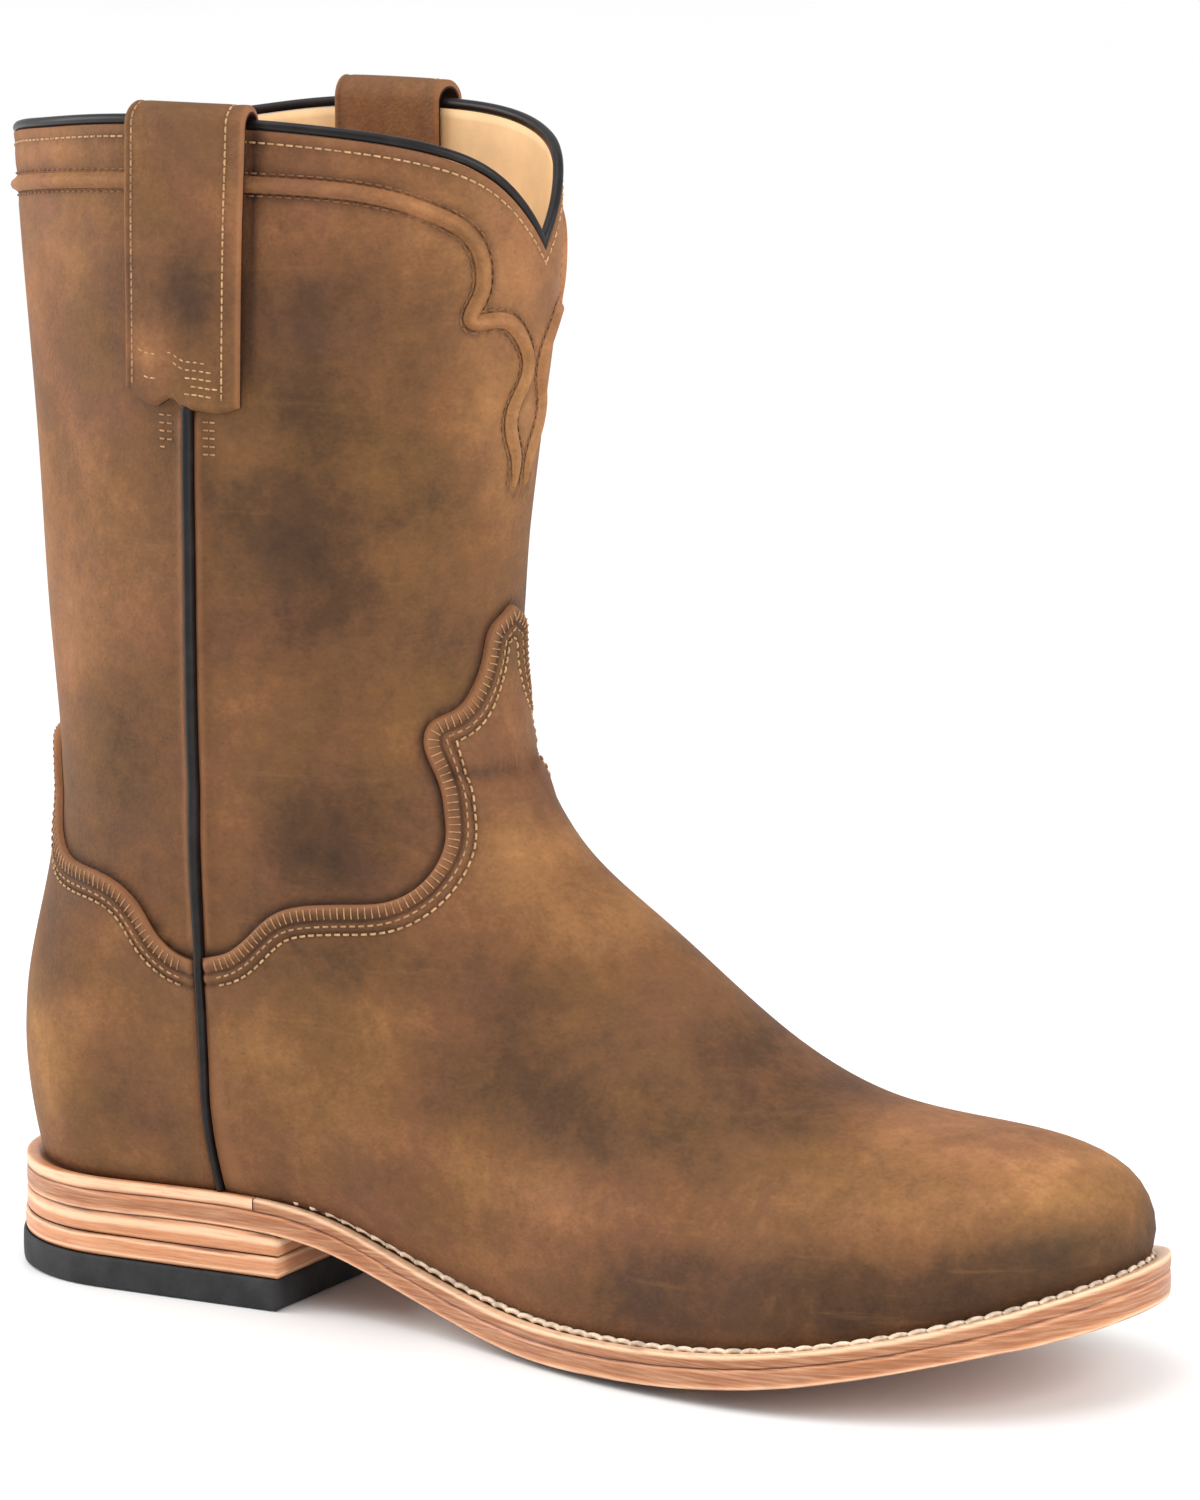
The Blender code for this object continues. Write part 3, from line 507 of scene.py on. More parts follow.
def ring_height(h, x):
    """Height of section h at x: a line in the side view, bent near the sole to follow it."""
    back_x = RING["back_x"](h)
    front_x = RING["front_x"](h)
    along = (x - back_x) / (front_x - back_x)
    level = RING["back_z"](h) + (RING["front_z"](h) - RING["back_z"](h)) * along
    feather = FEATHER["height"]
    chord = feather(back_x) + (feather(front_x) - feather(back_x)) * along
    follow = np.clip(1.0 - h / SOLE_FOLLOW, 0.0, 1.0) ** FOLLOW_POWER
    return level + follow * (feather(x) - chord)


def half_width(h, x, z, medial):
    """Half width of the upper at x and z on section h."""
    back_x = RING["back_x"](h)
    front_x = RING["front_x"](h)
    low = np.where(medial, FOOT["medial"](x), FOOT["lateral"](x))
    body = np.where(medial, FOOT["medial_body"](x), FOOT["lateral_body"](x))
    feather = FEATHER["height"](x)
    rise = np.clip((z - feather) / BODY_RISE, 0.0, 1.0)
    width = low + (body - low) * np.sin(rise * pi / 2.0)
    level = np.clip((z - feather) / np.maximum(crest(x) - feather, 0.001), 0.0, 1.0)
    arch = (1.0 - level ** ARCH["wide"](x)) ** (1.0 / ARCH["crest"](x))
    tip = TOE_FRONT + TOE_SPREAD * np.clip(h / TOE_SPREAD_CLIMB, 0.0, 1.0)
    toe = closing((tip - x) / TOE_ROUND, FULLNESS)
    heel = closing((x - back_x) / HEEL_ROUND, FULLNESS)
    foot = width * arch * toe * heel
    leg = RING["side"](h) * closing((front_x - x) / RING["front_round"](h))
    leg = leg * closing((x - back_x) / RING["back_round"](h))
    share = np.clip(RING["foot"](h), 0.0, 1.0)
    return share * foot + (1.0 - share) * leg


def upper_surface(u, h):
    """Point of the upper's outer face. u runs from the back (0) along the outer side to
    the front (0.5) and back along the inner side (1); h climbs from sole to collar."""
    u, h = np.broadcast_arrays(np.asarray(u, float) % 1.0, np.asarray(h, float))
    back_x = RING["back_x"](h)
    front_x = RING["front_x"](h)
    x = back_x + (front_x - back_x) * (1.0 - np.cos(2.0 * pi * u)) / 2.0
    z = ring_height(h, x)
    medial = u > 0.5
    width = half_width(h, x, z, medial)
    swing = FEATHER["swing"](x) * np.clip(1.0 - h / FOOT_SWING_TOP, 0.0, 1.0)
    return np.stack([x, np.where(medial, width, -width) + swing, z], -1)


def upper_normal(u, h):
    """Outward direction of the upper's face; level at the feather line."""
    u, h = np.broadcast_arrays(np.asarray(u, float), np.asarray(h, float))
    around = upper_surface(u + 2.0 * U_STEP, h) - upper_surface(u - 2.0 * U_STEP, h)
    low = np.clip(h - NORMAL_STEP, 0.0, CLIMB_TOP)
    high = np.clip(h + NORMAL_STEP, 0.0, CLIMB_TOP)
    climb = upper_surface(u, high) - upper_surface(u, low)
    climb = np.where((h < 0.01)[..., None], np.array([0.0, 0.0, 1.0]), climb)
    return unit(np.cross(around, climb))


def leather_relief(points):
    """Height of the soft creases at points of the surface."""
    lift = np.zeros(points.shape[:-1])
    for row in CREASE_ROWS:
        crease = dict(zip(CREASE_COLUMNS, row))
        x = points[..., 0] - crease["x"]
        z = points[..., 2] - crease["z"]
        lean = radians(crease["lean"])
        along = x * cos(lean) + z * sin(lean)
        across = z * cos(lean) - x * sin(lean)
        across = across + CREASE_SAG * along ** 2 / max(crease["along"] / CREASE_SAG_ALONG, 1.0)
        fade = np.exp(-(along / crease["along"]) ** 2 - (across / crease["across"]) ** 2)
        lift = lift + crease["depth"] * fade
    return lift


def tone_and_painted_light(points):
    """Darkness or lightness of the leather at points, from the table of patches, which holds
    painted shade and painted highlights as well.
    """
    tone = np.zeros(points.shape[:-1])
    for row in PATCH_ROWS:
        patch = dict(zip(PATCH_COLUMNS, row))
        x = (points[..., 0] - patch["x"]) / patch["long"]
        z = (points[..., 2] - patch["z"]) / patch["high"]
        tone = tone + patch["tone"] * np.exp(-x ** 2 - z ** 2)
    return np.clip(tone, -1.0, 1.0)


def offset_surface(u, h, offset):
    """Point at a distance from the upper's outer face, with its creases."""
    base = upper_surface(u, h)
    offset = np.asarray(offset, float) + leather_relief(base)
    return base + upper_normal(u, h) * offset[..., None]


def climb_below(shape, above):
    """Grid of the highest climbs h for which above(h) isn't true, found by halving."""
    low = np.zeros(shape)
    high = np.full(shape, CLIMB_TOP)
    for _ in range(HALVINGS):
        middle = (low + high) / 2.0
        over = above(middle)
        high = np.where(over, middle, high)
        low = np.where(over, low, middle)
    return (low + high) / 2.0


def climb_at(u, z):
    """Climb h at which the surface along u reaches the height z."""
    u, z = np.broadcast_arrays(np.asarray(u, float), np.asarray(z, float))
    return climb_below(u.shape, lambda h: upper_surface(u, h)[..., 2] > z)


def place_at(x, z, medial=False):
    """The u and h of the surface point seen at x and z in the side view."""
    x, z = np.broadcast_arrays(np.asarray(x, float), np.asarray(z, float))
    h = climb_below(x.shape, lambda h: (ring_height(h, x) > z) | (x > RING["front_x"](h)))
    back_x = RING["back_x"](h)
    share = np.clip((x - back_x) / (RING["front_x"](h) - back_x), 0.0, 1.0)
    u = np.arccos(1.0 - 2.0 * share) / (2.0 * pi)
    return (1.0 - u if medial else u), h


def collar_height(u):
    """Height of the collar edge at u."""
    u = np.asarray(u, float) % 1.0
    return np.where(u > 0.5, COLLAR["medial"](1.0 - u), COLLAR["lateral"](u))


def seam_line():
    """The side seam's u as a curve of the climb."""
    z = np.linspace(*SEAM_REACH, SEAM_POINTS)
    u, h = place_at(SEAM["x"](z), z)
    return lambda climb: np.interp(climb, h, u)


SEAM_U = seam_line()


def speed_around(u, h):
    """Millimetres of surface for one unit of u."""
    step = upper_surface(u + U_STEP, h) - upper_surface(u - U_STEP, h)
    return np.linalg.norm(step, axis=-1) / (2.0 * U_STEP)


def seam_distance(u, h):
    """Distance in millimetres from the nearer side seam, along the surface."""
    u = np.asarray(u, float) % 1.0
    folded = np.minimum(u, 1.0 - u)
    return np.abs(folded - SEAM_U(h)) * speed_around(u, h)


def feather_line(u, outward):
    """Plan point at a distance outside the feather line."""
    line = upper_surface(u, 0.0)[..., :2]
    ahead = upper_surface(u + FEATHER_STEP, 0.0)[..., :2]
    behind = upper_surface(u - FEATHER_STEP, 0.0)[..., :2]
    along = ahead - behind
    side = unit(np.stack([along[..., 1], -along[..., 0]], -1))
    return line + side * np.asarray(outward, float)[..., None], side


def sole_line(u, flare=0.0):
    """Plan point of the sole's outer edge at u and its outward direction."""
    ledge = FEATHER["ledge"](upper_surface(u, 0.0)[..., 0])
    return feather_line(u, ledge + flare)


def sole_top(x):
    """Height of the outsole's upper face over x."""
    return FEATHER["height"](x) - GAP - FEATHER["welt"](x) - GAP


def sole_bottom(x, side):
    """Underside of the outsole: its middle hangs lower at the ball and rests flat there."""
    edge = sole_top(x) - FEATHER["sole"](x)
    swell = np.clip(1.0 - np.abs(x - CROWN_PLACE) / CROWN_LENGTH, 0.0, 1.0)
    crown = SOLE_CROWN * np.sin(swell * pi / 2.0) * (1.0 - side ** 2)
    return np.maximum(0.0, edge - crown)


def placed(name, data):
    """New object of the data, in the scene."""
    made = bpy.data.objects.new(name, data)
    bpy.context.scene.collection.objects.link(made)
    return made


class Shell:
    """Points, faces and named values of a piece while it is put together."""

    def __init__(self):
        self.points = []
        self.faces = []
        self.face_looks = []
        self.values = {}

    def add(self, points, **values):
        """Adds points with one value each and returns their numbers, in the same grid."""
        points = np.asarray(points, float)
        grid = points.shape[:-1]
        first = sum(len(p) for p in self.points)
        flat = points.reshape(-1, 3)
        self.points.append(flat)
        for name in {**self.values, **values}:
            column = self.values.setdefault(name, [np.zeros(first)] if first else [])
            column.append(np.broadcast_to(values.get(name, 0.0), grid).reshape(-1).astype(float))
        return (first + np.arange(len(flat))).reshape(grid)

    def skin(self, numbers, look=0, flip=False, closed=False):
        """Quads over a grid of point numbers."""
        if closed:
            numbers = np.concatenate([numbers, numbers[:, :1]], axis=1)
        corners = (numbers[:-1, :-1], numbers[:-1, 1:], numbers[1:, 1:], numbers[1:, :-1])
        quads = np.stack([c.reshape(-1) for c in corners], -1)
        if flip:
            quads = quads[:, ::-1]
        for quad in quads.tolist():
            corners = list(dict.fromkeys(quad))
            if len(corners) > 2:
                self.faces.append(corners)
                self.face_looks.append(look)

    def cap(self, numbers, flip):
        """One flat face over a closed row of points."""
        face = numbers.tolist()
        self.faces.append(face[::-1] if flip else face)
        self.face_looks.append(0)

    def build(self, name, looks):
        """Scene object of the shell, with its values as point attributes."""
        mesh = bpy.data.meshes.new(name)
        points = np.concatenate(self.points) * MM
        mesh.from_pydata(points.tolist(), [], self.faces)
        for value_name, column in self.values.items():
            layer = mesh.attributes.new(value_name, "FLOAT", "POINT")
            layer.data.foreach_set("value", np.concatenate(column).astype(np.float32))
        for look in looks:
            mesh.materials.append(look)
        mesh.polygons.foreach_set("material_index", self.face_looks)
        mesh.shade_smooth()
        mesh.update()
        return placed(name, mesh)


def settle(piece, slot, *nodes):
    """The finished piece rides on the boot and stands for its nodes."""
    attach(piece, BODY)
    if nodes:
        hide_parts(*nodes)


def nearest_distance(points, line):
    """Distance of each point from the nearest point of a closely spaced line."""
    tree = KDTree(len(line))
    for k, place in enumerate(line):
        tree.insert(Vector(place), k)
    tree.balance()
    flat = points.reshape(-1, 3)
    found = [tree.find(Vector(p))[2] for p in flat.tolist()]
    return np.array(found).reshape(points.shape[:-1])


# Panels: overlays between the side seams, with a free edge on top and a hem at the sole

PANEL_SCALE = 400.0      # millimetres for one unit of u, roughly
VAMP = {"rows": VAMP_EDGE_ROWS, "count": 230, "fold": 0.5, "tip_z": 171.0}
COUNTER = {"rows": COUNTER_EDGE_ROWS, "count": 150, "fold": 0.0, "tip_z": 134.0}
FOLD_NEAR = 0.004        # u at which an edge is taken to reach the fold
SEAM_CLEAR = 1.45        # distance of a panel from the middle of the side seam
SEAM_FITTED = 22         # columns that give way so that the outermost one meets it
END_COLUMNS = 14.0       # columns over which a panel's rows turn upright at the seam
EDGE_AVERAGED = 17       # columns over which the direction into the panel is averaged
BAND_KEPT = 16           # rows beside the free edge that are left as they are
EVENING_ROUNDS = 140
TIP_WEIGHTS = (0.1, 0.2, 0.4, 0.2, 0.1)
EDGE_STEPS = (0.0, 0.1, 0.25, 0.5, 0.8, 1.15, 1.5, 1.9, 2.3, 2.7, 3.1, 3.6, 4.1, 4.7, 5.3,
              5.8, 6.2, 6.6, 7.0, 7.5, 8.0, 8.6, 9.3)


def edge_path(rows, count, fold, tip_z):
    """u and h of a free edge from the outer seam to the inner one; fold is the u in the
    middle, 0.5 at the front or 0 at the back, where the edge reaches tip_z."""
    path = path_through(rows, 6 * count)
    u, _ = place_at(path[:, 0], path[:, 1])
    over = int(np.argmax(np.abs(u - fold) < FOLD_NEAR))
    u, z = u[:over], path[:over, 1]
    u = np.append(u, fold)
    z = np.append(z, tip_z)
    travel = travelled(np.stack([u * PANEL_SCALE, z], -1))
    stops = np.linspace(0.0, travel[-1], count)
    u = np.interp(stops, travel, u)
    z = np.interp(stops, travel, z)
    u = np.concatenate([u, (2.0 * fold - u)[-2::-1]])
    z = np.concatenate([z, z[-2::-1]])
    z[2:-2] = np.convolve(z, TIP_WEIGHTS, mode="valid")
    return u, climb_at(u, z)


def smoothed(vectors, width):
    """Directions averaged along a line over a number of its points, unit length."""
    reach = 3 * width
    weights = np.exp(-(np.arange(-reach, reach + 1) / width) ** 2)
    padded = np.pad(vectors, ((reach, reach), (0, 0)), mode="edge")
    mixed = [np.convolve(padded[:, k], weights, mode="valid") for k in range(vectors.shape[1])]
    return unit(np.stack(mixed, -1))


def panel_grid(edge_u, edge_h, fold, rows_below):
    """Grid of u and h over a panel, from its free edge down to its hem."""
    edge_z = upper_surface(edge_u, edge_h)[:, 2]
    flat = np.stack([(edge_u - fold) * PANEL_SCALE, edge_z], -1)
    along = np.gradient(flat, axis=0)
    inward = np.stack([along[:, 1], -along[:, 0]], -1)
    if fold == 0.0:
        inward = -inward
    inward = unit(inward)
    upright = np.exp(-(from_end(len(flat))[:, None] / END_COLUMNS) ** 2)
    inward = inward + (np.array([0.0, -1.0]) - inward) * upright
    inward = smoothed(inward, EDGE_AVERAGED)
    steps = np.array(EDGE_STEPS)[:, None, None]
    band = flat[None] + inward[None] * steps
    band_u = band[..., 0] / PANEL_SCALE + fold
    band_h = climb_at(band_u, band[..., 1])
    band_h[0] = edge_h
    travel = travelled(band[-1])
    share = travel / travel[-1]
    half = np.sqrt(2.0 * np.minimum(share, 1.0 - share)) / 2.0
    share = np.where(share < 0.5, half, 1.0 - half)
    hem_u = (SEAM_U(0.0) - fold) * (1.0 - 2.0 * share) + fold
    t = (np.arange(1, rows_below + 1) / rows_below)[:, None]
    below_u = band_u[-1][None] * (1.0 - t) + hem_u[None] * t
    below_h = band_h[-1][None] * (1.0 - t)
    u = np.concatenate([band_u, below_u])
    h = np.concatenate([band_h, below_h])
    side = 1.0 if fold else -1.0
    for end, sign in ((0, 1.0), (-1, -1.0)):
        line_u, line_h = u[:, end].copy(), h[:, end].copy()
        seam_u = SEAM_U(line_h) if end == 0 else 2.0 * fold - SEAM_U(line_h)
        wanted = seam_u + sign * side * SEAM_CLEAR / speed_around(line_u, line_h)
        for k in range(SEAM_FITTED):
            fade = (1.0 - k / SEAM_FITTED) ** 2
            column = k if end == 0 else -1 - k
            u[:, column] += (wanted - line_u) * fade
    return relaxed(u), relaxed(h)


def relaxed(grid):
    """Grid whose rows below the kept band are evened out between their neighbours."""
    grid = grid.copy()
    first = BAND_KEPT
    for _ in range(EVENING_ROUNDS):
        sides = grid[first:-1, :-2] + grid[first:-1, 2:]
        ends = grid[first - 1:-2, 1:-1] + grid[first + 1:, 1:-1]
        grid[first:-1, 1:-1] = grid[first:-1, 1:-1] / 2.0 + (sides + ends) / 8.0
    return grid


# Soft ridges and troughs as (place, width, height): beside a free edge the rolled lip, its
# groove, the pad and the outer groove, the painted shade in the grooves, and the lip at the
# piping. Then how an overlay thins out at its edges and sides, where it is rubbed, and its painted
# shade at the hem
EDGE_RIDGES = ((1.6, 1.1, 0.45), (3.6, 0.55, -0.35), (5.0, 1.0, 0.3), (6.5, 0.6, -0.4))
EDGE_GROOVE_SHADE = ((3.7, 0.5, 1.0), (6.5, 0.7, 0.7))
SEAM_RIDGE = (2.3, 0.9, 0.55)
EDGE_ROUND = 0.7
EDGE_THIN = 0.15
UNDER_LIFT = 0.02
LEAST_LIFT = 0.1
SIDE_START = 1.4
SIDE_THIN = 0.55
LIP_FADE = 3.0
PANEL_RUB = (0.0, 1.4, 1.0)
SEAM_LIP_RUB = (1.6, 0.9, 1.0)
HEM_SHADE = (0.0, 3.5, 0.6)


def edge_relief(distance):
    """Thickness of an overlay near its free edge: a rolled lip and a stitched channel."""
    rise = EDGE_THIN + (OVERLAY - EDGE_THIN) * closing(distance / EDGE_ROUND)
    return rise + ridges(distance, *EDGE_RIDGES)


def build_panel(name, panel, rows_below):
    """Overlay with rounded free edge, stitched channel and lips along the side seams."""
    fold = panel["fold"]
    edge = edge_path(**panel)
    u, h = panel_grid(*edge, fold, rows_below)
    base = upper_surface(u, h)
    distance = nearest_distance(base, upper_surface(*edge))
    seam = seam_distance(u, h)
    lift = edge_relief(distance) + ridges(seam, SEAM_RIDGE) * between(distance, 0.0, LIP_FADE)
    side = closing((seam - SIDE_START) / EDGE_ROUND)
    lift = LEAST_LIFT + (lift - LEAST_LIFT) * (SIDE_THIN + (1.0 - SIDE_THIN) * side)
    tone = tone_and_painted_light(base)
    worn = np.clip(ridges(distance, PANEL_RUB) + ridges(seam, SEAM_LIP_RUB), 0.0, 1.0)
    # Painted shade in the grooves of the stitched channel and at the hem beside the welt
    dirt = ridges(distance, *EDGE_GROOVE_SHADE) + ridges(h, HEM_SHADE)
    shell = Shell()
    outer = shell.add(offset_surface(u, h, lift), tone=tone, worn=worn, dirt=dirt)
    # The underside is painted in full shade, which darkens the cut edge towards it
    inner = shell.add(offset_surface(u, h, UNDER_LIFT), tone=tone, dirt=1.0)
    flip = fold == 0.0
    shell.skin(outer, 0, flip)
    shell.skin(inner, 0, not flip)
    for border in (np.s_[0, :], np.s_[-1, :], np.s_[:, 0], np.s_[:, -1]):
        strip = np.stack([outer[border], inner[border]])
        turn = border in (np.s_[0, :], np.s_[:, -1])
        shell.skin(strip, 0, turn != flip)
    return outward_checked(shell.build(name, [brown_leather()]))


# Beads: pipings and the shaft's cord. A profile's points are shares of the bead's width and
# height

PIPING_PROFILE = ((-0.5, -0.15), (-0.5, 0.25), (-0.42, 0.58), (-0.27, 0.86), (0.0, 1.0),
                  (0.27, 0.86), (0.42, 0.58), (0.5, 0.25), (0.5, -0.15))
CORD_TAPER = 34.0        # points over which the cord's ends taper
CORD_PROFILE = ((-0.72, -0.1), (-0.6, 0.06), (-0.44, 0.4), (-0.28, 0.8), (0.0, 1.0),
                (0.28, 0.8), (0.44, 0.4), (0.6, 0.06), (0.72, -0.1))


def bead_sections(u, h, profile, wide, high, lift=0.0):
    """Sections of a raised bead that lies on the upper along u and h."""
    middle = offset_surface(u, h, lift)
    up = upper_normal(u, h)
    side = unit(np.cross(np.gradient(middle, axis=0), up))
    parts = [middle + side * across * wide + up * rise * high for across, rise in profile]
    return np.stack(parts, 1), middle


def build_bead(name, sections, looks, closed=False, tone=0.0):
    """Closed bar through equal sections, with flat ends unless it runs all the way round."""
    shell = Shell()
    numbers = shell.add(sections, tone=tone)
    ring = np.concatenate([numbers, numbers[:, :1]], axis=1)
    if closed:
        ring = np.concatenate([ring, ring[:1]], axis=0)
    shell.skin(ring, 0, True)
    if not closed:
        shell.cap(numbers[0], False)
        shell.cap(numbers[-1], True)
    return outward_checked(shell.build(name, looks))


def outward_checked(piece):
    """Turns a closed piece's faces outwards if its volume comes out negative."""
    mesh = piece.data
    mesh.calc_loop_triangles()
    corners = np.empty(len(mesh.loop_triangles) * 3, np.int32)
    mesh.loop_triangles.foreach_get("vertices", corners)
    places = np.empty(len(mesh.vertices) * 3)
    mesh.vertices.foreach_get("co", places)
    a, b, c = places.reshape(-1, 3)[corners.reshape(-1, 3)].transpose(1, 0, 2)
    if np.einsum("ij,ij->", a, np.cross(b, c)) < 0.0:
        mesh.flip_normals()
    return piece


# Nodes

def add_node(tree, kind, given=None, **settings):
    """New node with its settings; given holds values or sockets for its inputs."""
    made = tree.nodes.new(kind)
    for key, value in settings.items():
        setattr(made, key, value)
    for key, value in (given or {}).items():
        if isinstance(value, bpy.types.NodeSocket):
            tree.links.new(value, made.inputs[key])
        else:
            made.inputs[key].default_value = value
    return made


# Stitches

STITCH_DIP = -0.08       # height of a stitch's ends, which dip into the leather
STITCH_SIDES = 6
STITCH_STEPS = 4


def stitch_tree():
    """Geometry Nodes tree that lays one bowed stitch on every point of a carrier."""
    tree = bpy.data.node_groups.new("stitch_run", "GeometryNodeTree")
    for name, kind in (("Geometry", "Geometry"), ("Bow", "Float"), ("Thread", "Material")):
        tree.interface.new_socket(name, in_out="INPUT", socket_type="NodeSocket" + kind)
    tree.interface.new_socket("Geometry", in_out="OUTPUT", socket_type="NodeSocketGeometry")

    def add(kind, given=None, **settings):
        return add_node(tree, kind, given, **settings).outputs

    def stored(name):
        return add("GeometryNodeInputNamedAttribute", {"Name": name},
                   data_type="FLOAT_VECTOR")["Attribute"]

    entry = add("NodeGroupInput")
    middle = add("ShaderNodeCombineXYZ", {"Z": entry["Bow"]})
    arc = add("GeometryNodeCurveQuadraticBezier",
              {"Resolution": STITCH_STEPS, "Start": (-0.5, 0.0, STITCH_DIP),
               "Middle": middle["Vector"], "End": (0.5, 0.0, STITCH_DIP)})
    profile = add("GeometryNodeCurvePrimitiveCircle",
                  {"Resolution": STITCH_SIDES, "Radius": 0.25})
    tube = add("GeometryNodeCurveToMesh", {"Curve": arc["Curve"], "Fill Caps": True,
                                           "Profile Curve": profile["Curve"]})
    along = add("FunctionNodeAlignRotationToVector", {"Vector": stored("along")}, axis="X")
    turned = add("FunctionNodeAlignRotationToVector",
                 {"Vector": stored("out"), "Rotation": along["Rotation"]},
                 axis="Z", pivot_axis="X")
    laid = add("GeometryNodeInstanceOnPoints",
               {"Points": entry["Geometry"], "Instance": tube["Mesh"],
                "Rotation": turned["Rotation"], "Scale": stored("stretch")})
    real = add("GeometryNodeRealizeInstances", {"Geometry": laid["Instances"]})
    painted = add("GeometryNodeSetMaterial",
                  {"Geometry": real["Geometry"], "Material": entry["Thread"]})
    add("NodeGroupOutput", {"Geometry": painted["Geometry"]})
    return tree


def along_line(values, travel, stops):
    """Values of a line's points at distances travelled along it."""
    return np.stack([np.interp(stops, travel, column) for column in values.T], -1)


def even_points(u, h, pitch, lift):
    """Evenly spaced places on the upper along u and h, with along and out directions."""
    fine = np.linspace(0, len(u) - 1, 8 * len(u))
    fine_u = np.interp(fine, np.arange(len(u)), u)
    fine_h = np.interp(fine, np.arange(len(u)), h)
    line = offset_surface(fine_u, fine_h, lift)
    travel = travelled(line)
    stops = np.arange(pitch / 2.0, travel[-1], pitch)
    at_u = np.interp(stops, travel, fine_u)
    at_h = np.interp(stops, travel, fine_h)
    points = along_line(line, travel, stops)
    along = unit(along_line(line, travel, stops + 0.4) - points)
    return points, along, upper_normal(at_u, at_h)


def turned_about(vectors, axes, angle):
    """Vectors turned about unit axes by an angle in degrees."""
    a = radians(angle)
    dot = np.sum(vectors * axes, -1, keepdims=True)
    return vectors * cos(a) + np.cross(axes, vectors) * sin(a) + axes * dot * (1.0 - cos(a))


def lay_stitches(name, runs, thread):
    """One piece from runs of (points, along, out, length, thickness) in millimetres."""
    points = np.concatenate([run[0] for run in runs])
    along = np.concatenate([run[1] for run in runs])
    out = np.concatenate([run[2] for run in runs])
    stretch = np.concatenate([np.tile((run[3], 2 * run[4], 2 * run[4]), (len(run[0]), 1))
                              for run in runs])
    mesh = bpy.data.meshes.new(name + "_places")
    mesh.from_pydata((points * MM).tolist(), [], [])
    for label, vectors in (("along", along), ("out", out), ("stretch", stretch * MM)):
        layer = mesh.attributes.new(label, "FLOAT_VECTOR", "POINT")
        layer.data.foreach_set("vector", vectors.astype(np.float32).reshape(-1))
    carrier = placed(name + "_places", mesh)
    tree = bpy.data.node_groups.get("stitch_run") or stitch_tree()
    sizes = bpy.context.scene.boot_sizes
    modifier = carrier.modifiers.new("stitches", "NODES")
    modifier.node_group = tree
    given = {"Bow": sizes.stitch_bow, "Thread": thread}
    for item in tree.interface.items_tree:
        if item.in_out == "INPUT" and item.name in given:
            modifier[item.identifier] = given[item.name]
    depsgraph = bpy.context.evaluated_depsgraph_get()
    made = bpy.data.meshes.new_from_object(carrier.evaluated_get(depsgraph))
    carrier.modifiers.remove(modifier)
    bpy.data.objects.remove(carrier, do_unlink=True)
    made.name = name
    made.shade_smooth()
    settle(placed(name, made), "tan_lining_leather")


# Materials

# Screen colours of the leather's specks and streaks, of the painted shade on leather and on cut
# edges, and the hues it drifts between
SPECK = (74, 45, 30)
STREAK = (168, 122, 76)
PURPLE = (96, 66, 54)
LEATHER_PAINTED_SHADE = (44, 24, 16)
EDGE_PAINTED_SHADE = (72, 40, 24)
OLIVE_TINT = (0.97, 0.99, 0.89, 1.0)
PINK_TINT = (1.03, 0.97, 1.1, 1.0)
FLOOR_WHITES = ((247, 247, 247), (250, 250, 250))


def linear(colour):
    """Linear RGBA from 0 to 255 screen values."""
    share = np.array(colour, float) / 255.0
    value = np.where(share <= 0.04045, share / 12.92, ((share + 0.055) / 1.055) ** 2.4)
    return (*value.tolist(), 1.0)


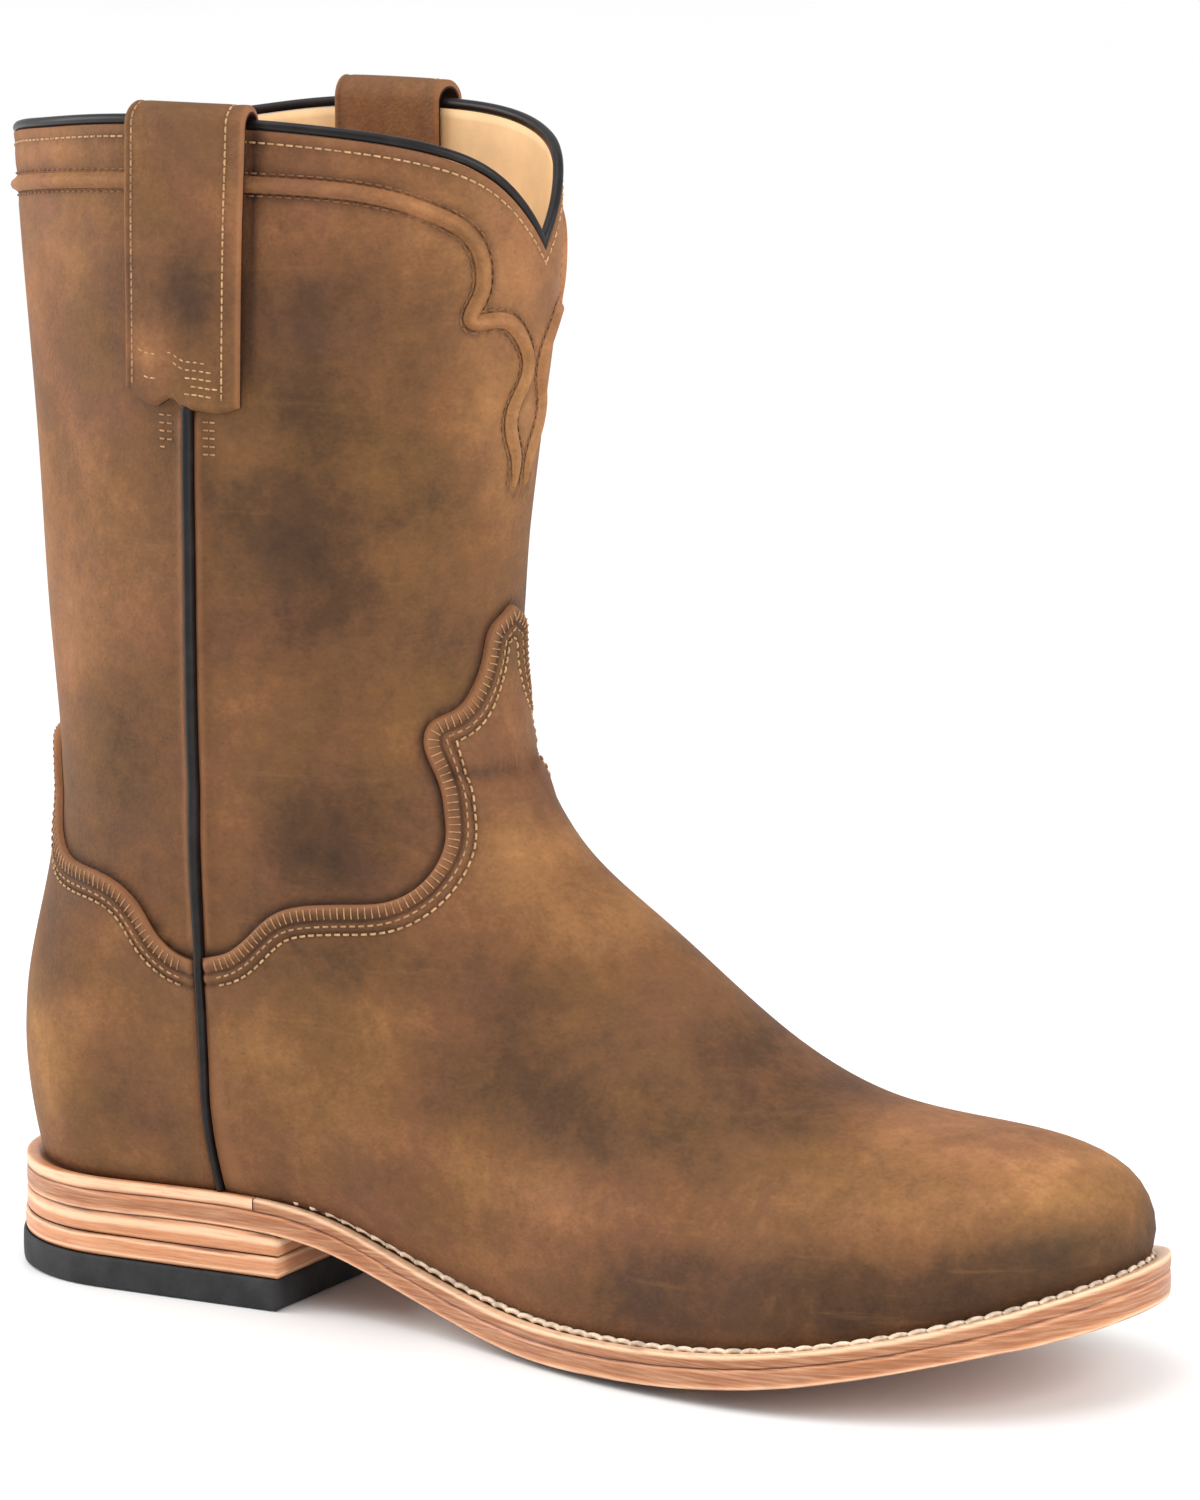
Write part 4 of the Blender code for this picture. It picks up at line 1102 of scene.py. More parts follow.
class Look:
    """A Principled material and short ways to add the nodes that feed it."""

    def __init__(self, name, roughness=0.5, specular=0.5, coat=0.0, coat_roughness=0.3):
        self.material = bpy.data.materials.new(name)
        self.material.use_nodes = True
        self.tree = self.material.node_tree
        self.shader = self.tree.nodes["Principled BSDF"]
        self.shader.inputs["Roughness"].default_value = roughness
        self.shader.inputs["Specular IOR Level"].default_value = specular
        self.shader.inputs["Coat Weight"].default_value = coat
        self.shader.inputs["Coat Roughness"].default_value = coat_roughness
        self.place = self.tree.nodes.new("ShaderNodeTexCoord").outputs["Object"]

    def node(self, kind, given=None, **settings):
        return add_node(self.tree, kind, given, **settings)

    def link(self, source, target):
        self.tree.links.new(source, target)

    def mapped(self, scale, turn=(0.0, 0.0, 0.0)):
        """Object coordinates, stretched and turned."""
        given = {"Vector": self.place, "Scale": scale, "Rotation": turn}
        return self.node("ShaderNodeMapping", given).outputs["Vector"]

    def noise(self, scale, detail=4.0, rough=0.5, where=None, distort=0.0):
        given = {"Vector": where or self.place, "Scale": scale, "Detail": detail,
                 "Roughness": rough, "Distortion": distort}
        return self.node("ShaderNodeTexNoise", given).outputs["Fac"]

    def cells(self, scale):
        """Distance from the middle of the nearest cell."""
        given = {"Vector": self.place, "Scale": scale}
        return self.node("ShaderNodeTexVoronoi", given, feature="F1").outputs["Distance"]

    def value(self, name):
        """The piece's own attribute of that name."""
        return self.node("ShaderNodeAttribute", attribute_name=name).outputs["Fac"]

    def maths(self, operation, first, second, clamp=False):
        given = {0: first, 1: second}
        node = self.node("ShaderNodeMath", given, operation=operation, use_clamp=clamp)
        return node.outputs["Value"]

    def spread(self, given, low, high, to_low=0.0, to_high=1.0):
        """Value mapped from one range to another."""
        given = {"Value": given, "From Min": low, "From Max": high,
                 "To Min": to_low, "To Max": to_high}
        return self.node("ShaderNodeMapRange", given).outputs["Result"]

    def ramp(self, given, stops):
        """Colour of a value, through stops of (place, screen colour)."""
        node = self.node("ShaderNodeValToRGB", {"Fac": given})
        points = node.color_ramp.elements
        for point, (position, colour) in zip((points[0], points[1]), (stops[0], stops[-1])):
            point.position = position
            point.color = linear(colour)
        for position, colour in stops[1:-1]:
            points.new(position).color = linear(colour)
        return node.outputs["Color"]

    def blend(self, share, first, second, blend_type="MIX"):
        """Mix of two colours by a share."""
        given = {0: share, 6: first, 7: second}
        node = self.node("ShaderNodeMix", given, data_type="RGBA", blend_type=blend_type)
        return node.outputs[2]

    def bumps(self, layers):
        """Bump layers of (height socket, distance in metres, strength)."""
        below = {}
        for height, distance, strength in layers:
            given = {"Height": height, "Distance": distance, "Strength": strength, **below}
            below = {"Normal": self.node("ShaderNodeBump", given).outputs["Normal"]}
        self.link(below["Normal"], self.shader.inputs["Normal"])

    def done(self, colour, roughness=None):
        """The material, once its colour and roughness are joined up."""
        self.link(colour, self.shader.inputs["Base Color"])
        if roughness:
            self.link(roughness, self.shader.inputs["Roughness"])
        return self.material


def found(name, make):
    """The material of that name, made on first use."""
    return bpy.data.materials.get(name) or make(name)


def brown_leather():
    """The worn brown leather that most pieces share."""
    return found("worn_brown_leather", distressed_leather)


def distressed_leather(name):
    """Waxed brown leather, rubbed lighter on its edges and darker in patches, with painted shade
    and painted highlights.
    """
    colours = bpy.context.scene.boot_colours
    look = Look(name, roughness=0.62, specular=0.2)
    broad = look.noise(13.0, 3.0, 0.55, distort=0.6)
    middle = look.noise(48.0, 4.0, 0.6, distort=0.4)
    fine = look.noise(260.0, 3.0, 0.65)
    grit = look.noise(800.0, 2.0, 0.6, look.mapped((1.0, 1.0, 1.5)))
    stirred = look.spread(look.noise(34.0, 3.0, 0.6, distort=1.2), 0.3, 0.7, 0.2, 0.44)
    # The tone attribute brings the leather's patches together with their painted shade and painted
    # highlights
    tone = look.maths("MULTIPLY", look.value("tone"), stirred)
    tone = look.maths("ADD", tone, look.spread(broad, 0.3, 0.7, 0.37, 0.62))
    tone = look.maths("ADD", tone, look.spread(middle, 0.3, 0.7, -0.085, 0.085))
    tone = look.maths("ADD", tone, look.spread(fine, 0.3, 0.7, -0.055, 0.055))
    tone = look.maths("ADD", tone, look.spread(grit, 0.3, 0.7, -0.04, 0.04), clamp=True)
    colour = look.ramp(tone, [
        (0.0, colours.leather_dark),
        (0.27, colours.leather_shade),
        (0.52, colours.leather_brown),
        (0.76, colours.leather_tan),
        (1.0, colours.leather_light),
    ])
    specks = look.spread(look.noise(900.0, 2.0, 0.5), 0.62, 0.78)
    colour = look.blend(look.maths("MULTIPLY", specks, 0.35), colour, linear(SPECK))
    streaks = look.noise(38.0, 5.0, 0.65, look.mapped((0.5, 0.5, 7.0), (0.0, 0.25, 0.0)))
    streaks = look.spread(streaks, 0.62, 0.8)
    colour = look.blend(look.maths("MULTIPLY", streaks, 0.2), colour, linear(STREAK))
    purple = look.spread(look.noise(26.0, 3.0, 0.55, look.mapped((1.0, 1.0, 1.6))), 0.5, 0.68)
    colour = look.blend(look.maths("MULTIPLY", purple, 0.2), colour, linear(PURPLE))
    hue = look.spread(look.noise(21.0, 3.0, 0.55, distort=0.8), 0.36, 0.64)
    tint = look.blend(hue, OLIVE_TINT, PINK_TINT)
    colour = look.blend(1.0, colour, tint, "MULTIPLY")
    worn = look.maths("MULTIPLY", look.value("worn"), look.spread(middle, 0.25, 0.6, 0.35, 0.75))
    colour = look.blend(worn, colour, linear(colours.leather_worn))
    # Painted shade from the point attribute: shadows beside overlays and straps, shade in grooves,
    # hollows and undersides
    dirt = look.maths("MULTIPLY", look.value("dirt"), 0.72, clamp=True)
    colour = look.blend(dirt, colour, linear(LEATHER_PAINTED_SHADE))
    grain = look.cells(1150.0)
    pores = look.noise(2100.0, 2.0, 0.6)
    waves = look.noise(95.0, 4.0, 0.55)
    look.bumps([(waves, 0.0007, 0.22), (grain, 0.0003, 0.32), (pores, 0.0002, 0.3)])
    rough = look.spread(middle, 0.25, 0.75, 0.56, 0.72)
    return look.done(colour, rough)


def tan_lining(name):
    """Smooth tan lining leather with faint mottling."""
    colours = bpy.context.scene.boot_colours
    look = Look(name, roughness=0.55, specular=0.3)
    mottling = look.noise(60.0, 4.0, 0.5)
    darker = [0.88 * c for c in colours.lining]
    colour = look.ramp(mottling, [(0.3, darker), (0.7, colours.lining)])
    look.bumps([(look.noise(1400.0, 2.0, 0.5), 0.0002, 0.25)])
    return look.done(colour)


def black_piping(name):
    """Glossy black piping with a faint brown rub."""
    colours = bpy.context.scene.boot_colours
    look = Look(name, roughness=0.4, specular=0.22, coat=0.05, coat_roughness=0.2)
    rub = look.noise(160.0, 4.0, 0.6)
    rub_and_highlight = [c + 20 for c in colours.piping]
    colour = look.ramp(rub, [(0.45, colours.piping), (0.85, rub_and_highlight)])
    look.bumps([(look.noise(1500.0, 2.0, 0.5), 0.0002, 0.2)])
    return look.done(colour)


def black_rubber(name):
    """Matt black rubber with fine pitting and dust."""
    colours = bpy.context.scene.boot_colours
    look = Look(name, roughness=0.72, specular=0.4)
    dust = look.noise(120.0, 5.0, 0.6)
    dusty = [c + 26 for c in colours.rubber]
    colour = look.ramp(dust, [(0.4, colours.rubber), (0.85, dusty)])
    look.bumps([(look.noise(1300.0, 3.0, 0.6), 0.0003, 0.35)])
    return look.done(colour)


def thread_look(name):
    """Twisted waxed thread, in the colour that its name gives."""
    shade = name.removesuffix("_thread")
    colour = getattr(bpy.context.scene.boot_colours, "thread_" + shade)
    look = Look(name, roughness=0.6, specular=0.3)
    uneven = look.noise(420.0, 3.0, 0.6)
    darker = [0.72 * c for c in colour]
    look.bumps([(look.noise(3000.0, 1.0, 0.5), 0.0002, 0.4)])
    return look.done(look.ramp(uneven, [(0.32, darker), (0.62, colour)]))


STACK_STOPS = {
    "rand_edge": [(0.0, "line"), (0.12, "tan"), (0.35, "pale"), (0.8, "pale"), (1.0, "tan")],
    "welt_edge": [(0.0, "line"), (0.18, "deep"), (0.62, "deep"), (0.86, "pale"), (1.0, "pale")],
    "outsole_edge": [(0.0, "deep"), (0.1, "pale"), (0.2, "tan"), (0.34, "deep"), (0.8, "deep"),
                     (0.9, "tan"), (1.0, "line")],
    "upper_lift_edge": [(0.0, "line"), (0.1, "tan"), (0.45, "tan"), (0.58, "pale"),
                        (0.8, "pale"), (0.92, "tan"), (1.0, "line")],
    "lower_lift_edge": [(0.0, "line"), (0.1, "tan"), (0.2, "pale"), (0.3, "tan"),
                        (0.75, "tan"), (0.87, "pale"), (0.95, "tan"), (1.0, "line")],
}


def stack_look(name):
    """Waxed cut edge of sole leather, with fine lines along it and pale bands."""
    colours = bpy.context.scene.boot_colours
    look = Look(name, roughness=0.42, specular=0.4, coat=0.12, coat_roughness=0.3)
    share = look.value("share")
    along = look.mapped((1.0, 1.0, 14.0))
    drift = look.noise(40.0, 4.0, 0.6, along)
    shifted = look.maths("ADD", share, look.spread(drift, 0.3, 0.7, -0.07, 0.07), clamp=True)
    stops = [(place, getattr(colours, "edge_" + shade)) for place, shade in STACK_STOPS[name]]
    colour = look.ramp(shifted, stops)
    fibres = look.noise(170.0, 5.0, 0.65, look.mapped((0.35, 0.35, 9.0)))
    colour = look.blend(look.spread(fibres, 0.42, 0.7, 0.0, 0.4), colour,
                        linear(colours.edge_pale))
    dark_fibres = look.noise(260.0, 4.0, 0.6, look.mapped((0.5, 0.5, 8.0)))
    colour = look.blend(look.spread(dark_fibres, 0.5, 0.72, 0.0, 0.38), colour,
                        linear(colours.edge_line))
    # Painted shade in the stitched trough of the welt
    dirt = look.maths("MULTIPLY", look.value("dirt"), 0.85, clamp=True)
    colour = look.blend(dirt, colour, linear(EDGE_PAINTED_SHADE))
    look.bumps([(fibres, 0.0003, 0.35), (look.noise(1500.0, 2.0, 0.5), 0.0002, 0.2)])
    return look.done(colour)


def plain_floor(name):
    """White studio floor with a faint sheen."""
    look = Look(name, roughness=0.32, specular=0.25)
    cloud = look.noise(1.5, 2.0, 0.5)
    return look.done(look.ramp(cloud, list(zip((0.3, 0.7), FLOOR_WHITES))))


# Settings

def colour_setting(label, about, screen):
    """Colour property in 0 to 255 screen values."""
    return bpy.props.FloatVectorProperty(name=label, description=about, default=screen,
                                         size=3, min=0.0, max=255.0)


def size_setting(label, about, default, low, high):
    """Size property in millimetres."""
    return bpy.props.FloatProperty(name=label, description=about, default=default,
                                   min=low, max=high)


class BootSizes(bpy.types.PropertyGroup):
    """Sizes of the boot's trim, in millimetres."""

    piping_wide: size_setting("Piping width", "Width of the side piping, mm", 2.8, 1.0, 5.0)
    piping_high: size_setting("Piping height", "Height of the side piping, mm", 2.2, 0.5, 4.0)
    collar_bead: size_setting("Collar piping", "Diameter of the collar piping, mm", 2.4, 1.0, 5.0)
    cord_wide: size_setting("Cord width", "Width of the shaft's raised cord, mm", 2.9, 1.0, 6.0)
    cord_high: size_setting("Cord height", "Height of the shaft's raised cord, mm", 1.6, 0.3, 3.0)
    strap_wide: size_setting("Strap width", "Width of a pull strap, mm", 31.0, 15.0, 45.0)
    strap_thick: size_setting("Strap thickness", "Thickness of a pull strap, mm", 2.0, 0.8, 4.0)
    stitch_bow: size_setting("Stitch bow", "Rise of a stitch as a share of its width",
                             0.3, 0.0, 1.0)
    stitch_pitch: size_setting("Stitch pitch", "Pitch of the fine stitching, mm", 2.3, 1.0, 5.0)
    welt_pitch: size_setting("Welt pitch", "Pitch of the welt's stitching, mm", 4.4, 2.0, 8.0)


class BootColours(bpy.types.PropertyGroup):
    """Colours of the boot's leathers, trim and threads."""

    leather_dark: colour_setting("Dark leather", "Darkest patches", (52, 35, 23))
    leather_shade: colour_setting("Shaded leather", "Dark mottling", (82, 56, 34))
    leather_brown: colour_setting("Brown leather", "Middle brown", (115, 78, 46))
    leather_tan: colour_setting("Tan leather", "Lighter brown", (148, 103, 63))
    leather_light: colour_setting("Light leather", "Rubbed highlights", (186, 133, 86))
    leather_worn: colour_setting("Worn edge", "Rubbed edges of panels", (156, 106, 72))
    lining: colour_setting("Lining", "Tan lining leather", (255, 214, 160))
    piping: colour_setting("Piping", "Black piping", (20, 15, 15))
    rubber: colour_setting("Rubber", "Heel cap", (30, 30, 32))
    edge_tan: colour_setting("Edge tan", "Cut edge of the heel leather", (202, 134, 90))
    edge_deep: colour_setting("Edge brown", "Cut edge of the welt and outsole", (156, 96, 58))
    edge_pale: colour_setting("Edge pale", "Pale bands of the cut edge", (238, 194, 156))
    edge_line: colour_setting("Edge line", "Dark lines of the cut edge", (122, 68, 40))
    thread_pale: colour_setting("Pale thread", "Welt stitching", (240, 216, 190))
    thread_tan: colour_setting("Tan thread", "Vamp, collar and strap stitching", (200, 158, 112))
    thread_faded: colour_setting("Faded thread", "Inner rows of the panels", (182, 138, 98))
    thread_brown: colour_setting("Brown thread", "Shaft stitching", (132, 90, 58))


# Pieces

# The upper's grid: rows, columns in a quarter of the way round, and the closer columns
# beside a side seam in millimetres, for a leg about so many millimetres round
UPPER_ROWS = 150
QUARTER_COLUMNS = 60
BESIDE_SEAM = (9.0, 6.0, 4.2, 3.2, 2.6, 2.1, 1.6, 1.0)
LEG_ROUND = 330.0
COLUMN_APART = 0.002
CORD_POINTS = 300

# Heights between which the leather rolls up beside the side piping, and in which the near
# strap's shadow darkens it; millimetres of surface for one of climb under the collar
LIP_BOTTOM = (86.0, 90.0)
LIP_TOP = (218.0, 215.0)
STRAP_SHADE = (222.0, 230.0)
STRAP_SHADE_SIDE = 16.6
COLLAR_SPEED = 0.9

# Its soft ridges and troughs, rubbed bands, and painted shade and shadow, as (place, width,
# height)
SEAM_HOLLOW = (0.0, 1.2, -0.5)
COLLAR_CHANNEL = (2.4, 0.6, -0.25)
CORD_HOLLOW = (2.2, 0.9, -0.25)
SEAM_RUB = (2.0, 0.9, 0.8)
COLLAR_RUB = (0.0, 1.2, 0.5)
PANEL_EDGE_SHADOW = (0.0, 1.5, 1.2)
CORD_HOLLOW_SHADE = (2.2, 0.9, 0.7)
COLLAR_CHANNEL_SHADE = (2.4, 0.7, 0.4)
STRAP_SHADOW = (0.0, 1.6, 1.1)


def upper_grid():
    """Grid of u and h over the upper, closer at the side seams, and the collar's climb."""
    beside = np.array([-d for d in BESIDE_SEAM] + [0.0] + list(BESIDE_SEAM[::-1]))
    near = 0.25 + beside / LEG_ROUND
    back = np.linspace(0.0, 0.25, QUARTER_COLUMNS)[:-1]
    back = back[back < near[0] - COLUMN_APART]
    front = np.linspace(0.25, 0.5, QUARTER_COLUMNS)[1:]
    front = front[(front <= near[-1]) | (front > near[-1] + COLUMN_APART)]
    half = np.unique(np.round(np.concatenate([back, near, front]), 6))
    columns = np.concatenate([half[:-1], [0.5], 1.0 - half[1:-1][::-1]])
    columns = np.unique(np.round(columns % 1.0, 6))
    shares = (np.arange(UPPER_ROWS + 1) / UPPER_ROWS)[:, None]
    h = shares * climb_at(columns, collar_height(columns))
    folded = np.minimum(columns, 1.0 - columns)
    warp = (SEAM_U(h) - 0.25) * np.sin(2.0 * pi * folded)
    u = np.where(columns <= 0.5, folded + warp, 1.0 - folded - warp)
    top = climb_at(u[-1], collar_height(u[-1]))
    return u, shares * top, top


class BOOT_OT_upper(bpy.types.Operator):
    """Build the foot and shaft of the upper with its lining"""

    bl_idname = "boot.upper"
    bl_label = "Upper"

    def execute(self, context):
        u, h, top = upper_grid()
        points = upper_surface(u, h)
        z = points[..., 2]
        edges = np.concatenate([upper_surface(*edge_path(**panel)) for panel in (VAMP, COUNTER)])
        panel = nearest_distance(points, edges)
        cord = nearest_distance(points, upper_surface(*cord_line(CORD_POINTS)))
        strap = points[..., 0] - (STRAP_RISE["lateral"](z) + STRAP_SHADE_SIDE)
        seam = seam_distance(u, h)
        collar = (top - h) * COLLAR_SPEED
        low, high = between(z, *LIP_BOTTOM), between(z, *LIP_TOP)
        lift = ridges(seam, SEAM_RIDGE) * low * high + ridges(seam, SEAM_HOLLOW) * low
        lift = lift + ridges(collar, COLLAR_CHANNEL) + ridges(cord, CORD_HOLLOW)
        lift = np.where(h < 1.0, 0.0, lift)
        worn = ridges(seam, SEAM_RUB) * low * high + ridges(collar, COLLAR_RUB)
        # Painted shadow beside the panels' free edges, painted shade in the hollow beside the cord
        # and in the collar's channel, and the near strap's painted shadow
        dirt = ridges(panel, PANEL_EDGE_SHADOW) + ridges(cord, CORD_HOLLOW_SHADE) + ridges(collar, COLLAR_CHANNEL_SHADE)
        dirt = dirt + ridges(strap, STRAP_SHADOW) * between(z, *STRAP_SHADE)
        shell = Shell()
        outer = shell.add(offset_surface(u, h, lift), tone=tone_and_painted_light(points), worn=worn,
                          dirt=dirt)
        inner = shell.add(offset_surface(u, h, -WALL))
        shell.skin(outer, 0, closed=True)
        shell.skin(inner, 1, flip=True, closed=True)
        shell.skin(np.stack([inner[0], outer[0]]), 1, closed=True)
        shell.skin(np.stack([outer[-1], inner[-1]]), 0, closed=True)
        looks = [brown_leather(), found("smooth_tan_lining", tan_lining)]
        settle(outward_checked(shell.build("boot_upper", looks)), "distressed_leather", "upper")
        return {"FINISHED"}


class BOOT_OT_vamp(bpy.types.Operator):
    """Build the vamp with its tongue up the front of the shaft"""

    bl_idname = "boot.vamp"
    bl_label = "Vamp"

    def execute(self, context):
        settle(build_panel("boot_vamp", VAMP, 62), "distressed_leather", "vamp")
        return {"FINISHED"}


class BOOT_OT_counter(bpy.types.Operator):
    """Build the heel counter with its tab up the back"""

    bl_idname = "boot.counter"
    bl_label = "Heel counter"

    def execute(self, context):
        piece = build_panel("boot_heel_counter", COUNTER, 44)
        settle(piece, "distressed_leather", "heel_counter")
        return {"FINISHED"}


# Side piping: its ends and points, how slim it is at the sole and where it is full, how
# high it lies, and how much higher where the panels reach it
SEAM_BEAD_X = 27.0
SEAM_BEAD_TOP = 219.0
SEAM_BEAD_POINTS = 190
SEAM_BEAD_SLIM = 0.62
SEAM_BEAD_LEAST_HIGH = 0.85
SEAM_BEAD_FULL = (30.0, 105.0)
SEAM_BEAD_LIFT = 0.25
SEAM_BEAD_RAISED = 0.55
SEAM_BEAD_STEP = (88.0, 83.0)

# Collar piping: points round it and across it, and its width over its height
COLLAR_POINTS = 360
COLLAR_SIDES = 12
COLLAR_BROAD = 1.05
STEEPEST_RIM = 0.55


class BOOT_OT_piping(bpy.types.Operator):
    """Build the black piping of the collar and of both side seams"""

    bl_idname = "boot.piping"
    bl_label = "Piping"

    def execute(self, context):
        sizes = context.scene.boot_sizes
        looks = [found("glossy_black_piping", black_piping)]
        for side in ("lateral", "medial"):
            bottom = float(FEATHER["height"](SEAM_BEAD_X)) + 0.1
            z = np.linspace(bottom, SEAM_BEAD_TOP, SEAM_BEAD_POINTS)
            u, h = place_at(SEAM["x"](z), z, side == "medial")
            slim = SEAM_BEAD_SLIM + (1.0 - SEAM_BEAD_SLIM) * between(z, *SEAM_BEAD_FULL)[:, None]
            lift = SEAM_BEAD_LIFT + SEAM_BEAD_RAISED * between(z, *SEAM_BEAD_STEP)
            high = sizes.piping_high * np.maximum(slim, SEAM_BEAD_LEAST_HIGH)
            sections, _ = bead_sections(u, h, PIPING_PROFILE, sizes.piping_wide * slim, high, lift)
            piece = build_bead("boot_side_piping_" + side, sections, looks)
            settle(piece, "black_piping", "side_piping_" + side)
        sections = self.collar_sections(sizes.collar_bead / 2.0)
        piece = build_bead("boot_collar_piping", sections, looks, closed=True)
        settle(piece, "black_piping", "collar_piping")
        return {"FINISHED"}

    def collar_sections(self, radius):
        """Sections of the piping that sits on the collar's rim."""
        half = np.linspace(0.0, 0.5, COLLAR_POINTS // 2 + 1)
        u = np.concatenate([half, 1.0 - half[1:-1][::-1]])
        h = climb_at(u, collar_height(u))
        rim = offset_surface(u, h, -WALL / 2.0)
        outward = upper_normal(u, h)
        up = unit(np.cross(outward, np.roll(rim, -1, 0) - np.roll(rim, 1, 0)))
        up = np.where(up[:, 2:] < 0.0, -up, up)
        lift = (radius + 0.1) / np.clip(up[:, 2:], STEEPEST_RIM, 1.0)
        middle = rim + np.array([0.0, 0.0, 1.0]) * lift
        turns = 2.0 * pi * np.arange(COLLAR_SIDES) / COLLAR_SIDES
        return np.stack([middle + outward * radius * COLLAR_BROAD * cos(t) + up * radius * sin(t)
                         for t in turns], 1)


def cord_line(count):
    """u and h of the shaft's cord, from the front over the outer side, round the back and
    along the inner side to the front again."""
    half = path_through(CORD_ROWS, count)
    u = np.concatenate([half[:, 0], 1.0 - half[-2::-1, 0]])
    z = np.concatenate([half[:, 1], half[-2::-1, 1]])
    u[len(half) - 1] = 0.0
    h = climb_at(u, z)
    u[len(half):] -= 1.0
    return u, h


class BOOT_OT_cord(bpy.types.Operator):
    """Build the raised cord round the shaft"""

    bl_idname = "boot.cord"
    bl_label = "Shaft cord"

    def execute(self, context):
        sizes = context.scene.boot_sizes
        u, h = cord_line(CORD_POINTS)
        fade = closing((from_end(len(u))[:, None] + 0.6) / CORD_TAPER)
        sections, middle = bead_sections(u, h, CORD_PROFILE, sizes.cord_wide * fade,
                                         sizes.cord_high * fade)
        tone = np.broadcast_to((tone_and_painted_light(middle) * 0.6 + 0.45)[:, None], sections.shape[:2])
        piece = build_bead("boot_shaft_cord", sections, [brown_leather()], tone=tone)
        settle(piece, "distressed_leather", "shaft_cord")
        return {"FINISHED"}


def strap_steps():
    """Steps of a strap from its lower edge over the collar to its end inside: the stage, a
    share or an offset and height, and the direction in which the thickness lies."""
    top_offset = STRAP_RISE_ROWS[-1][1]
    centre = top_offset - STRAP_LOOP_RADIUS
    steps = [("rise", t) for t in np.linspace(0.0, 1.0, STRAP_RISE_STEPS)[:-1]]
    for t in np.linspace(0.0, pi, STRAP_LOOP_STEPS):
        steps.append(("loop", centre + STRAP_LOOP_RADIUS * cos(t),
                      STRAP_LOOP_Z + STRAP_LOOP_RADIUS * sin(t), cos(t), sin(t)))
    drop = STRAP_LOOP_Z - STRAP_INNER_END
    for t in np.linspace(0.0, 1.0, STRAP_INSIDE_STEPS)[1:]:
        steps.append(("inside", STRAP_INNER_OFFSET, STRAP_LOOP_Z - drop * t, -1.0, 0.0))
    return steps


# Columns of a strap: distances from each edge, and the flat middle between them
STRAP_ROUND = np.array([0.0, 0.12, 0.35, 0.7, 1.1, 1.6])
STRAP_FLAT = 2.4
STRAP_FLAT_COLUMNS = 17


def strap_face(medial, sizes):
    """Grid of the strap's inner face, and the direction and place of each point."""
    half = sizes.strap_wide / 2.0
    inner = np.linspace(-half + STRAP_FLAT, half - STRAP_FLAT, STRAP_FLAT_COLUMNS)
    across = np.concatenate([-half + STRAP_ROUND, inner, half - STRAP_ROUND[::-1]])
    faces, directions, heights = [], [], []
    column = "medial" if medial else "lateral"
    for step in strap_steps():
        if step[0] == "rise":
            low = STRAP_EDGE["z"](across)
            z = low + (STRAP_LOOP_Z - low) * step[1]
            offset, out, up = STRAP_RISE["offset"](z), 1.0, 0.0
        else:
            offset, z, out, up = step[1], np.full(len(across), step[2]), step[3], step[4]
        level = np.minimum(z, STRAP_LOOP_Z)
        centre = STRAP_RISE[column](STRAP_LOOP_Z if step[0] == "inside" else level)
        u, h = place_at(centre + across, level, medial)
        normal = unit(upper_normal(u, h) * np.array([1.0, 1.0, 0.0]))
        point = upper_surface(u, h) + normal * np.asarray(offset)[..., None]
        point[:, 2] += z - level
        faces.append(point)
        directions.append(normal * out + np.array([0.0, 0.0, up]))
        heights.append(z)
    return np.array(faces), np.array(directions), across, np.array(heights)


# A strap's thin edge and how its ends round off, the depth of its stitched channels, its
# slight waviness, and its dark middle and the painted highlight on its lower end as (place,
# width, height) across and up the strap
STRAP_THIN = 0.5
STRAP_EDGE_ROUND = 0.8
STRAP_END_ROUND = 0.9
STRAP_END_RISE = (0.9, 1.8)
STRAP_CHANNEL = 0.28
STRAP_SAG = 0.2
STRAP_SAG_LENGTH = 9.0
STRAP_RIGHT = (3.6, 0.55, 1.0)
STRAP_LEFT = (1.9, 0.5, 1.0)
STRAP_DARK = ((3.0, 7.0, 1.0), (246.0, 13.0, 0.85))
STRAP_HIGHLIGHT = ((-8.0, 6.0, 1.0), (230.0, 5.0, 0.4))
STRAP_TONE_SHARE = 0.35
STRAP_TONE = 0.08


